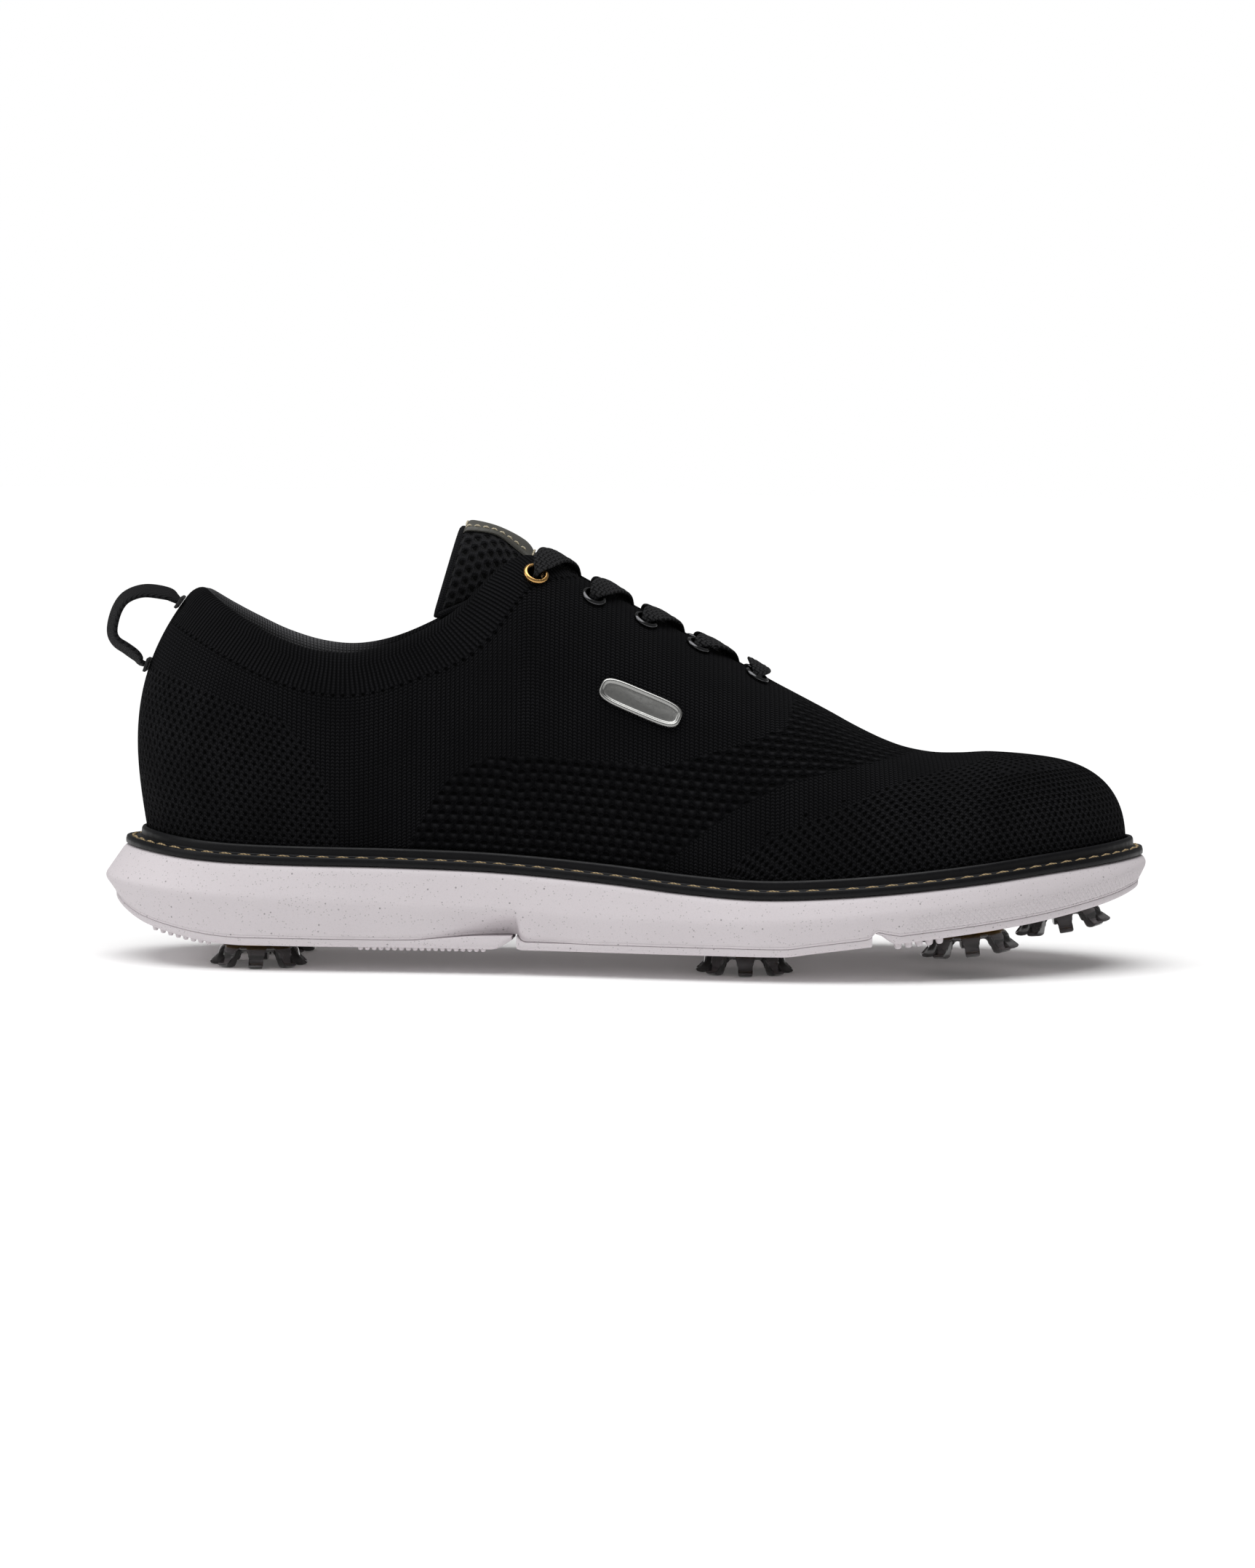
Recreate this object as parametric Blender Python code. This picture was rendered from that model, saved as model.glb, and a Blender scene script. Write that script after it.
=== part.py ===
"""Laced knit golf shoe for the right foot, modelled as the assembly it is made from.

The toe points along +X, the medial (inner) side is +Y and up is +Z. The origin is on the ground,
under the middle of the shoe. Lengths in this file are millimetres; MM turns them into Blender's metres.
"""

import bisect
import math

import bmesh
import bpy
from mathutils import Matrix, Vector

MM = 0.001
GAP = 0.3                       # between pieces that touch on the real shoe
LATERAL, MEDIAL = -1, 1

# ---------------------------------------------------------------- plan of the last's feather edge
LATERAL_EDGE = [
    (-138.2, 0), (-134, -13.5), (-124.5, -23.5), (-110, -29.5), (-90, -31.5), (-65, -32), (-40, -33.5),
    (-15, -37), (10, -41.5), (35, -45), (55, -46), (75, -44.5), (95, -39.5), (112, -31.5), (127, -21),
    (138.5, -8.5), (145, 6.5),
]
MEDIAL_EDGE = [
    (-138.2, 0), (-134, 13.5), (-124.5, 23.5), (-110, 29.5), (-90, 31), (-65, 29.5), (-40, 27.5),
    (-15, 28.5), (10, 33.5), (35, 39.5), (55, 43.5), (75, 46), (95, 44.5), (112, 39.5), (127, 31.5),
    (138.5, 21), (145, 6.5),
]
TOE_X, HEEL_X = 145.0, -138.2
TOE_FAN, HEEL_FAN = 105.0, -100.0     # past these the ribs of the upper fan out
TOE_SHARE, HEEL_SHARE = 0.18, 0.835   # stations q at which the two fans begin
TOE_POLE = 112.0                      # where the fan of the toe meets the ridge

# ---------------------------------------------------------------- side profiles, as (x, z)
SOLE_TOP = [
    (-138, 33), (-120, 31), (-100, 30.3), (-65, 29.9), (-35, 29), (-4, 26.7), (16.5, 24.5), (37, 23.2),
    (57, 23.9), (78, 25.6), (98, 27.7), (120, 30.3), (149, 33),
]
SOLE_BOTTOM = [
    (-150, 18), (-144, 14), (-138, 11.4), (-127, 9), (-119, 7.8), (-111, 7.2), (-105, 7.2), (-50, 7.2),
    (25, 7.2), (42, 7.2), (46, 7.35), (52, 8.2), (68, 10.2), (88, 12.5), (109, 15), (120, 16.6),
    (131, 18.6), (142, 20.9), (150, 23.2),
]
CREASE = [
    (-138, 23.8), (-115, 21.5), (-90, 20.7), (-70, 19.7), (-30, 18), (0, 16.8), (40, 17), (70, 19.4),
    (108, 23.6), (135, 28), (145, 30.2),
]
RIDGE = [
    (-31, 121.6), (-10, 110.2), (0, 104.6), (10, 99.2), (21, 93.3), (32, 87.4), (42, 81.8), (47.8, 78.8),
    (58.4, 73.3), (63.7, 70.4), (69, 67.7), (74.3, 65.3), (79.6, 63.4), (85, 62.2), (90, 61.6),
    (97, 61.6), (105, 62), (112, 61.3),
]
RIDGE_SIDE = [(45, 0), (80, 1.0), (112, 3.0)]     # y of the ridge, towards the big toe

# ---------------------------------------------------------------- throat and topline
THROAT_FRONT, THROAT_TOP = 46.0, -31.0
FACING_EDGE = [(-31, 13), (0, 9.5), (20, 7), (38, 4.5), (42, 3.2), (46, 0)]
TOPLINE = [  # station key, then x, half-width and height of the collar's outer shoulder
    (-138.2, -127.6, 0, 104.6), (-130, -125.2, 8.5, 103.6), (-120, -118.6, 17, 99.8), (-110, -109.6, 24.2, 94.9),
    (-100, -100, 28.6, 90.4), (-90, -90, 30.8, 87.2), (-80, -80, 31.2, 86.3), (-70, -70, 30.4, 88.2),
    (-60, -60, 28.2, 92.6), (-52, -52, 25.6, 97.9), (-46, -46.5, 23.2, 103.2), (-41, -42, 20.8, 108.8),
    (-36, -37, 17.5, 114.6),
]
SQUARENESS = [(-138, 2), (-60, 2.1), (-31, 3.0), (-8, 2.85), (6, 2.7), (21, 2.5), (40, 2.3), (70, 2.15),
              (105, 2.3), (145, 2.5)]
BULGE_LATERAL = [(-138, 7.8), (-118, 6.6), (-100, 5.2), (-60, 3), (-31, 1.5), (40, 1.5), (90, 1.5), (145, 0.5)]
BULGE_MEDIAL = [(-138, 7.8), (-118, 6.6), (-100, 5.2), (-70, 5), (-31, 7), (0, 6.5), (40, 3), (90, 1.5), (145, 0.5)]
COLLAR_ARC = math.radians(38)         # how far round the arch a rib of the collar runs
COLLAR_REACH = math.radians(50)

# ---------------------------------------------------------------- wall build-up, inwards from the knit
KNIT = 1.8
FOAM = (2.1, 4.9)
LINING = (5.2, 6.6)
COUNTER = (2.1, 3.6)
PUFF = (2.1, 3.1)
ROLL_WIDTH = [(-138, 6.8), (-60, 6.8), (-46, 5.2), (-31, 3.2)]
ROLL_HEIGHT = [(-138, 5.2), (-60, 4.6), (-31, 2.6)]
ROLL_GAP = 0.55

# ---------------------------------------------------------------- bottom unit
WELT_EDGE = [(-138, 6.6), (-120, 5.6), (-60, 5.2), (60, 5.0), (145, 4.9)]
MIDSOLE_BULGE = [
    (-138.2, 12.8), (-130, 12.2), (-118, 10.4), (-100, 8.4), (-40, 7.4), (60, 7.3), (120, 6.4), (145, 6),
]
SOLE_FOOT = [(-138.2, 9.5), (-120, 7), (-60, 6.3), (60, 6.0), (120, 4.6), (145, 3.8)]
PAD_THICK = 2.1
ARCH_GAP = (-31.5, -30.0)             # heel pad ends, ball pad begins
FLEX_GAP = (68.5, 76.3)               # ball pad ends, toe pad begins
NOTCH_DEPTH = 1.7                     # further than the pads, into the foam
WELT_THICK, BEAD_HEIGHT = 2.3, 5.4

# ---------------------------------------------------------------- cleats
CLEAT_HEIGHT = 7.2                    # pad face to ground
CLEATS = {
    "heel_lateral": (-105, -18), "heel_medial": (-105, 18),
    "ball_lateral": (34, -23.5), "ball_medial": (34.5, 22),
    "forefoot_lateral": (97.5, -24), "forefoot_medial": (95, 22), "toe": (126, 6),
}
CLEAT_LEGS = 8
SOCKET_RADIUS, SOCKET_DEPTH = 9.0, 5.8
BORE_RADIUS, STUD_RADIUS = 4.7, 4.3
FLANGE_RADIUS, FLANGE = 11.0, (0.3, 0.8)

# ---------------------------------------------------------------- lacing
EYELETS = [(36.5, 12.2), (19.5, 14.8), (4.5, 17.6), (-10.3, 19.9), (-26.7, 22)]   # x, half-spacing
EYELET_FLANGE, EYELET_BARREL, EYELET_BORE = 3.7, 2.9, 2.45
LACE_WIDTH, LACE_THICK = 6.5, 1.2
LACE_BUNCH = (2.8, 1.3)               # width and thickness inside an eyelet
AGLET = (1.95, 2.35, 13)              # bore, outer radius, length

# ---------------------------------------------------------------- tongue, pull loop, emblem
TONGUE_TOP, TONGUE_THICK = 4.3, 2.5   # depth of its top face below the facing's outer face
TONGUE_LAID = [  # x, half-width, extra depth at the edges, crown in the middle
    (47, 9, 0, 0), (38, 13, 0, 0), (24, 16, 0, 0), (8, 17.5, 0, 0), (-10, 17.5, 0, 0), (-24, 16, 0.3, 0.6),
    (-30.5, 13.5, 1.2, 3.6),
]
TONGUE_FREE = [  # x and z of the middle, half-width, drop to the edge
    (-38.0, 124.4, 13.5, 17), (-45.5, 126.2, 15.0, 23.5), (-47.8, 125.2, 14.6, 23.5),
]
TONGUE_LEAN = Vector((-0.27, 0, -0.963))   # the way its end plane falls away from the middle
TONGUE_COLUMNS = 10
TONGUE_HINGE = (47.5, 0.0, 74.0)
LOOP_TABS = (102.4, 84.4)                  # heights of the two sewn-down ends on the heel's back
LOOP_STAND = 2.6                           # the loop's ends stand this far off the knit
LOOP_PATH = [  # x and z of the loop's middle line between its two ends, from the upper one down
    (-133.4, 105.1), (-138.6, 105.9), (-142.3, 105.4), (-145.6, 103.7), (-147.7, 100.8), (-149.0, 96.8),
    (-149.2, 93.4), (-147.9, 91.0), (-145.2, 89.2), (-142.2, 87.0),
]
LOOP_WIDTH, LOOP_THICK = 10.5, 1.6
EMBLEM = ((3.6, 77.2), 24.5, 7.2, -22.5)   # centre x and z, length, height, tilt in degrees


# ================================================================ curves
def smooth(rows, x, column=1):
    """Value at x of the smooth curve through rows sorted by their first entry, held past both ends."""
    if x <= rows[0][0]:
        return rows[0][column]
    if x >= rows[-1][0]:
        return rows[-1][column]
    k = bisect.bisect_right([row[0] for row in rows], x) - 1

    def slope(i):
        a, b = rows[max(i - 1, 0)], rows[min(i + 1, len(rows) - 1)]
        return (b[column] - a[column]) / (b[0] - a[0])

    span = rows[k + 1][0] - rows[k][0]
    s = (x - rows[k][0]) / span
    return (
        (2 * s**3 - 3 * s**2 + 1) * rows[k][column]
        + (s**3 - 2 * s**2 + s) * span * slope(k)
        + (3 * s**2 - 2 * s**3) * rows[k + 1][column]
        + (s**3 - s**2) * span * slope(k + 1)
    )


def path_through(points, steps, closed=False):
    """Catmull-Rom curve through the points, with the given steps between neighbours."""
    count = len(points)
    last = count if closed else count - 1
    out = []
    for k in range(last):
        pick = [(k + o) % count if closed else min(max(k + o, 0), count - 1) for o in (-1, 0, 1, 2)]
        a, b, c, d = (points[i] for i in pick)
        for j in range(steps):
            s = j / steps
            out.append(0.5 * ((2 * b) + (c - a) * s + (2 * a - 5 * b + 4 * c - d) * s * s
                              + (3 * b - a - 3 * c + d) * s**3))
    if not closed:
        out.append(points[-1].copy())
    return out


def dense_half_outlines():
    """Fine (x, y) points of each half of the feather edge, heel to toe."""
    ring = [Vector(p) for p in LATERAL_EDGE] + [Vector(p) for p in reversed(MEDIAL_EDGE[1:-1])]
    steps = 40
    dense = path_through(ring, steps, closed=True)
    toe = (len(LATERAL_EDGE) - 1) * steps
    return {LATERAL: dense[: toe + 1], MEDIAL: [dense[0]] + dense[: toe - 1 : -1]}


OUTLINE = dense_half_outlines()
OUTLINE_X = {side: [max(p.x, HEEL_X) for p in OUTLINE[side]] for side in OUTLINE}


def edge_point(side, x):
    """Feather edge of that side at x, and its outward normal in plan."""
    xs, points = OUTLINE_X[side], OUTLINE[side]
    k = min(max(bisect.bisect_right(xs, x) - 1, 0), len(xs) - 2)
    a, b = points[k], points[k + 1]
    share = 0 if b.x == a.x else min(max((x - a.x) / (b.x - a.x), 0), 1)
    before, after = points[max(k - 3, 0)], points[min(k + 4, len(points) - 1)]
    along = after - before
    normal = Vector((side * -along.y, side * along.x)).normalized()
    if x >= TOE_X - 0.01:
        normal = Vector((1, 0))
    if x <= HEEL_X + 0.01:
        normal = Vector((-1, 0))
    return a.lerp(b, share), normal


# ================================================================ the last: stations and ribs
def station_of(x):
    """Station q of a rib whose feather edge is at x, between the two fans."""
    return TOE_SHARE + (TOE_FAN - x) / (TOE_FAN - HEEL_FAN) * (HEEL_SHARE - TOE_SHARE)


def station_x(q):
    if q < TOE_SHARE:
        return TOE_FAN + (TOE_X - TOE_FAN) * math.cos(math.pi / 2 * q / TOE_SHARE)
    if q > HEEL_SHARE:
        turn = math.pi / 2 * (q - HEEL_SHARE) / (1 - HEEL_SHARE)
        return HEEL_FAN + (HEEL_X - HEEL_FAN) * math.sin(turn)
    return TOE_FAN - (q - TOE_SHARE) / (HEEL_SHARE - TOE_SHARE) * (TOE_FAN - HEEL_FAN)


def station_key(q):
    """Like station_x, but even along the two fans, so that a table can be read by it."""
    if q < TOE_SHARE:
        return TOE_FAN + (TOE_X - TOE_FAN) * (1 - q / TOE_SHARE)
    if q > HEEL_SHARE:
        return HEEL_FAN + (HEEL_X - HEEL_FAN) * (q - HEEL_SHARE) / (1 - HEEL_SHARE)
    return station_x(q)


def power(value, exponent):
    return math.copysign(abs(value) ** exponent, value)


class Rib:
    """One rib of the last: from the feather edge, up the wall, over to the ridge or the topline."""

    def __init__(self, side, q):
        if q < 0:
            side, q = -side, -q
        if q > 1:
            side, q = -side, 2 - q
        self.side = side
        self.key = station_key(q)
        x = station_x(q)
        edge, self.out = edge_point(side, x)
        self.foot = Vector((edge.x, edge.y, smooth(SOLE_TOP, x) + GAP + 0.1))
        self.exponent = 2 / smooth(SQUARENESS, self.key)
        self.bulge = smooth(BULGE_LATERAL if side == LATERAL else BULGE_MEDIAL, self.key)
        into_collar = min(max((THROAT_TOP - self.key) / 29, 0), 1)
        self.reach = math.pi / 2 + (COLLAR_REACH - math.pi / 2) * into_collar
        if self.key >= THROAT_FRONT - 0.001:
            ridge_x = x if self.key <= TOE_FAN else TOE_FAN + (TOE_POLE - TOE_FAN) * (1 - q / TOE_SHARE)
            self.arc = math.pi / 2
            self.set_top(Vector((ridge_x, smooth(RIDGE_SIDE, ridge_x), smooth(RIDGE, ridge_x))))
        elif self.key >= THROAT_TOP - 0.001:
            self.arc = math.pi / 2
            self.set_top(Vector((x, 0, smooth(RIDGE, x))))
            self.arc = self.arc_at(smooth(FACING_EDGE, x))
        else:
            corner = Rib(side, station_of(THROAT_TOP))
            at = corner.point(corner.arc)
            rows = TOPLINE + [(THROAT_TOP, at.x, abs(at.y), at.z)]
            across, width, height = (smooth(rows, self.key, column) for column in (1, 2, 3))
            self.arc = corner.arc + (COLLAR_ARC - corner.arc) * into_collar
            self.set_top(Vector((across, side * width, height)))

    def set_top(self, top):
        outward = Vector((self.out.x, self.out.y, 0))
        self.top = top - outward * self.swell(self.arc)
        self.cos_top = power(math.cos(self.arc), self.exponent)
        self.sin_top = power(math.sin(self.arc), self.exponent)

    def swell(self, arc):
        turn = math.sin(math.pi * arc / self.reach)
        return self.bulge * power(turn, 1.2)

    def point(self, arc):
        across = (1 - power(math.cos(arc), self.exponent)) / (1 - self.cos_top)
        up = power(math.sin(arc), self.exponent) / self.sin_top
        span = self.top - self.foot
        at = self.foot + Vector((span.x * across, span.y * across, span.z * up))
        return at + Vector((self.out.x, self.out.y, 0)) * self.swell(arc)

    def arc_at(self, half_width):
        """The arc at which the rib comes within half_width of the middle."""
        low, high = math.radians(20), math.pi / 2
        for _ in range(40):
            middle = (low + high) / 2
            if abs(self.point(middle).y) > half_width:
                low = middle
            else:
                high = middle
        return (low + high) / 2


def arc_at_height(rib, height):
    """The arc at which the rib passes a height over the ground."""
    low, high = 0.0, rib.arc
    for _ in range(40):
        middle = (low + high) / 2
        if rib.point(middle).z < height:
            low = middle
        else:
            high = middle
    return (low + high) / 2


def quarter(side, x, height, depth=0.0):
    """Point under (or with a negative depth, over) the side wall at x and a height, and the normal."""
    q = station_of(x)
    return wall(side, q, arc=arc_at_height(Rib(side, q), height), depth=depth)


def wall(side, q, share=None, arc=None, depth=0.0):
    """Point at that depth under the outer face of the upper, and the face's outward normal."""
    rib = Rib(side, q)
    if arc is None:
        arc = rib.arc * share
    normal = face_normal(rib, side, q, arc)
    if arc > math.pi / 2 - 1e-6:
        normal = (normal + face_normal(Rib(-side, q), -side, q, arc)).normalized()
    return rib.point(arc) - normal * depth, normal


def face_normal(rib, side, q, arc):
    step_q, step_arc = 0.002, 0.004
    along = Rib(side, q + step_q).point(arc_like(side, q + step_q, rib, arc))
    back = Rib(side, q - step_q).point(arc_like(side, q - step_q, rib, arc))
    up = rib.point(arc + step_arc) - rib.point(arc - step_arc)
    return (up.cross(along - back) * -side).normalized()


def arc_like(side, q, rib, arc):
    """The arc on the rib at q that lies at the same share of its height as arc does on rib."""
    other = Rib(side, q)
    return arc * other.arc / rib.arc if rib.key < THROAT_TOP and other.key < THROAT_TOP else arc


def instep(x, y, depth=0.0):
    """Point under (or with a negative depth, over) the instep's face at x and y, and the normal."""
    side = LATERAL if y < 0 else MEDIAL
    q = station_of(x)
    rib = Rib(side, q)
    return wall(side, q, arc=rib.arc_at(max(abs(y), 0.01)), depth=depth)


# ================================================================ mesh helpers
def material(name, colour, roughness, metallic=0.0):
    made = bpy.data.materials.new(name)
    made.use_nodes = True
    shader = made.node_tree.nodes["Principled BSDF"]
    shader.inputs["Base Color"].default_value = (*colour, 1)
    shader.inputs["Roughness"].default_value = roughness
    shader.inputs["Metallic"].default_value = metallic
    made.diffuse_color = (*colour, 1)
    return made


def add_object(name, mesh, finish, parent=None):
    made = bpy.data.objects.new(name, mesh)
    mesh.materials.append(finish)
    bpy.context.scene.collection.objects.link(made)
    if parent is not None:
        made.parent = parent
    return made


def mesh_object(name, points, faces, finish, angle=35, origin=None, parent=None):
    """An object from points in millimetres. With an origin, in mm, its mesh is centred there."""
    base = Vector(origin) if origin is not None else Vector()
    work = bmesh.new()
    verts = [work.verts.new((Vector(p) - base) * MM) for p in points]
    for face in faces:
        corners = [verts[i] for i in dict.fromkeys(face)]
        if len(corners) > 2:
            work.faces.new(corners)
    bmesh.ops.remove_doubles(work, verts=work.verts, dist=1e-6)
    bmesh.ops.dissolve_degenerate(work, edges=work.edges, dist=1e-6)
    bmesh.ops.recalc_face_normals(work, faces=work.faces)
    mesh = bpy.data.meshes.new(name)
    work.to_mesh(mesh)
    work.free()
    mesh.shade_smooth()
    mesh.set_sharp_from_angle(angle=math.radians(angle))
    made = add_object(name, mesh, finish, parent)
    made.location = base * MM
    return made


def loft(rings, closed_ring=True, closed_path=False):
    """Points and faces of a skin over rings of equally many points, capped at open ends."""
    size = len(rings[0])
    points = [p for ring in rings for p in ring]
    faces = []
    for r in range(len(rings) - (0 if closed_path else 1)):
        a, b = r * size, ((r + 1) % len(rings)) * size
        for k in range(size if closed_ring else size - 1):
            n = (k + 1) % size
            faces.append((a + k, a + n, b + n, b + k))
    if not closed_path:
        faces.append(tuple(range(size - 1, -1, -1)))
        faces.append(tuple(range(len(points) - size, len(points))))
    return points, faces


def drill(target, name, centre, axis, radius, depth, segments=20):
    """Cuts a round pocket of that depth, in mm, into target from centre along axis."""
    mesh = bpy.data.meshes.new(name)
    work = bmesh.new()
    bmesh.ops.create_cone(work, cap_ends=True, segments=segments, radius1=radius * MM, radius2=radius * MM,
                          depth=depth * MM)
    turn = Vector((0, 0, 1)).rotation_difference(Vector(axis)).to_matrix().to_4x4()
    centred = Matrix.Translation((Vector(centre) + Vector(axis).normalized() * depth / 2) * MM)
    bmesh.ops.transform(work, matrix=centred @ turn, verts=work.verts)
    work.to_mesh(mesh)
    work.free()
    cutter = bpy.data.objects.new(name, mesh)
    bpy.context.scene.collection.objects.link(cutter)
    cut(target, cutter)


def cut(target, cutter):
    cutter.hide_render = True
    cutter.display_type = "WIRE"
    modifier = target.modifiers.new("cut_" + cutter.name, "BOOLEAN")
    modifier.operation = "DIFFERENCE"
    modifier.object = cutter


def stations(*stretches):
    """Station values from (first, last, steps) stretches, each given as q."""
    out = []
    for first, last, steps in stretches:
        out += [first + (last - first) * k / steps for k in range(steps)]
    return out + [stretches[-1][1]]


# ================================================================ upper, collar and what they hold
def ring_of_stations(toe_to_heel):
    """(side, q) all the way round, from the toe along the lateral side to the heel and back."""
    lateral = [(LATERAL, q) for q in toe_to_heel]
    return lateral + [(MEDIAL, q) for q in reversed(toe_to_heel[1:-1])]


def shell(name, ring, shares, outer, inner, finish, closed=True):
    """A wall between two depths under the upper's face, over stations and shares of each rib."""
    grids = [[[wall(side, q, share=s, depth=depth)[0] for s in shares] for side, q in ring]
             for depth in (outer, inner)]
    rows, count = len(shares), len(ring)
    points = [p for grid in grids for column in grid for p in column]
    faces = []

    def index(layer, k, j):
        return (layer * count + k % count) * rows + j

    for k in range(count if closed else count - 1):
        for j in range(rows - 1):
            faces.append((index(0, k, j), index(0, k + 1, j), index(0, k + 1, j + 1), index(0, k, j + 1)))
            faces.append((index(1, k, j + 1), index(1, k + 1, j + 1), index(1, k + 1, j), index(1, k, j)))
        faces.append((index(0, k + 1, 0), index(0, k, 0), index(1, k, 0), index(1, k + 1, 0)))
        keys = [station_key(ring[i % count][1]) for i in (k, k + 1)]
        if shares[-1] < 1 or min(keys) < THROAT_FRONT - 0.01:
            top = rows - 1
            faces.append((index(0, k, top), index(0, k + 1, top), index(1, k + 1, top), index(1, k, top)))
    if not closed:
        for k in (0, count - 1):
            for j in range(rows - 1):
                faces.append((index(0, k, j), index(0, k, j + 1), index(1, k, j + 1), index(1, k, j)))
    return mesh_object(name, points, faces, finish, angle=60)


UPPER_STATIONS = stations(
    (0, TOE_SHARE, 7), (TOE_SHARE, station_of(THROAT_FRONT), 5),
    (station_of(THROAT_FRONT), station_of(THROAT_TOP), 8),
    (station_of(THROAT_TOP), HEEL_SHARE, 7), (HEEL_SHARE, 1, 6),
)
FULL_SHARES = [0, 0.08, 0.2, 0.34, 0.48, 0.62, 0.75, 0.88, 1]


def make_upper(finish):
    upper = shell("knit_upper", ring_of_stations(UPPER_STATIONS), FULL_SHARES, 0, KNIT, finish)
    for row, (x, half) in enumerate(EYELETS):
        for side in (LATERAL, MEDIAL):
            at, normal = instep(x, side * half, depth=-3)
            drill(upper, f"eyelet_hole_{row}_{side}", at, -normal, EYELET_BARREL + GAP, 8, segments=12)
    return upper


def rear_ring(first_key):
    """Stations from the lateral collar front round the heel to the medial one."""
    kept = [q for q in UPPER_STATIONS if station_key(q) <= first_key + 0.01]
    return [(LATERAL, q) for q in kept] + [(MEDIAL, q) for q in reversed(kept[:-1])]


def make_collar(finish):
    """The rolled knit topline: a hollow half round over the foam, along the collar."""
    rings = []
    for side, q in rear_ring(THROAT_TOP):
        rib = Rib(side, q)
        at, normal = wall(side, q, share=1)
        up = (rib.point(rib.arc) - rib.point(rib.arc - 0.02)).normalized()
        width, height = smooth(ROLL_WIDTH, rib.key), smooth(ROLL_HEIGHT, rib.key)
        ring = []
        for reach, steps in ((0, 6), (1.0, 6)):
            turns = [k / steps * math.pi for k in range(steps + 1)]
            for turn in (turns if reach == 0 else reversed(turns)):
                half = width / 2 - reach
                across = width / 2 - half * math.cos(turn)
                rise = ROLL_GAP + (height - ROLL_GAP - reach) * math.sin(turn)
                ring.append(at - normal * across + up * rise)
        rings.append(ring)
    points, faces = loft(rings)
    return mesh_object("collar_roll", points, faces, finish, angle=50)


# ================================================================ bottom unit
def sole_ring(qs, offset, height):
    """Lateral and medial rows of points at an offset outside the feather edge, at a height by station."""
    rows = {}
    for side in (LATERAL, MEDIAL):
        rows[side] = []
        for q in qs:
            x = station_x(q)
            edge, out = edge_point(side, x)
            reach = offset(station_key(q)) if callable(offset) else offset
            at = edge + out * reach
            level = height(x, at.x)
            rows[side].append(Vector((at.x, at.y, level)))
    return rows


def slab(name, rings, finish, angle=40):
    """A solid of the full plan outline: rings from the bottom up, each with both ends shared or cut."""
    loops = [ring[LATERAL] + list(reversed(ring[MEDIAL])) for ring in rings]
    size = len(loops[0])
    half = len(rings[0][LATERAL])
    points = [p for loop in loops for p in loop]
    faces = []
    for r in range(len(loops) - 1):
        for k in range(size):
            n = (k + 1) % size
            faces.append((r * size + k, r * size + n, (r + 1) * size + n, (r + 1) * size + k))
    for base, flip in ((0, False), ((len(loops) - 1) * size, True)):
        for k in range(half - 1):
            face = (base + k, base + size - 1 - k, base + size - 2 - k, base + k + 1)
            faces.append(face if flip else tuple(reversed(face)))
    return mesh_object(name, points, faces, finish, angle=angle)


def sole_top(x, _):
    return smooth(SOLE_TOP, x)


def pad_top(_, x):
    return smooth(SOLE_BOTTOM, x) + PAD_THICK


def notch(x):
    """How far the foam rises over the gaps between the pads."""
    arch = smooth([(-60, 0), (-44, 0.8), (-32.5, 1), (-31, 1), (-29.2, 0), (-28, 0)], x)
    flex = smooth([(67.6, 0), (68.6, 0.2), (70.3, 1), (73.5, 0.55), (77, 0)], x)
    return NOTCH_DEPTH * max(arch, flex)


def foam_bottom(_, x):
    return pad_top(0, x) + GAP + notch(x)


SOLE_STATIONS = sorted(
    stations((0, TOE_SHARE, 7), (TOE_SHARE, HEEL_SHARE, 17), (HEEL_SHARE, 1, 7))
    + [station_of(x) for x in (77, 73.5, 70.3, 68.0, -28.6, -31, -33, -38)]
)


def make_midsole(finish):
    rings = [
        sole_ring(SOLE_STATIONS, lambda key: smooth(SOLE_FOOT, key) - 1.5, foam_bottom),
        sole_ring(SOLE_STATIONS, lambda key: smooth(SOLE_FOOT, key) + 0.6,
                  lambda x, ax: foam_bottom(x, ax) + 0.9),
        sole_ring(SOLE_STATIONS, lambda key: smooth(MIDSOLE_BULGE, key), lambda x, _: smooth(CREASE, x)),
        sole_ring(SOLE_STATIONS, lambda key: smooth(WELT_EDGE, key) + 0.4,
                  lambda x, _: smooth(SOLE_TOP, x) - 0.8),
        sole_ring(SOLE_STATIONS, lambda key: smooth(WELT_EDGE, key) - 0.6, sole_top),
    ]
    return slab("midsole", rings, finish)


def pad_stations(first, last):
    inner = [q for q in SOLE_STATIONS if first + 0.6 < station_x(q) < last - 0.6]
    ends = ([] if first < HEEL_X else [station_of(first)]) + ([] if last > TOE_X else [station_of(last)])
    return sorted(inner + ends + ([1.0] if first < HEEL_X else []) + ([0.0] if last > TOE_X else []))


def make_pad(name, first, last, finish):
    qs = pad_stations(first, last)
    rings = [
        sole_ring(qs, lambda key: smooth(SOLE_FOOT, key) - 1.6, lambda _, ax: smooth(SOLE_BOTTOM, ax)),
        sole_ring(qs, lambda key: smooth(SOLE_FOOT, key), lambda _, ax: smooth(SOLE_BOTTOM, ax) + 0.8),
        sole_ring(qs, lambda key: smooth(SOLE_FOOT, key), pad_top),
    ]
    return slab(name, rings, finish)


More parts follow.
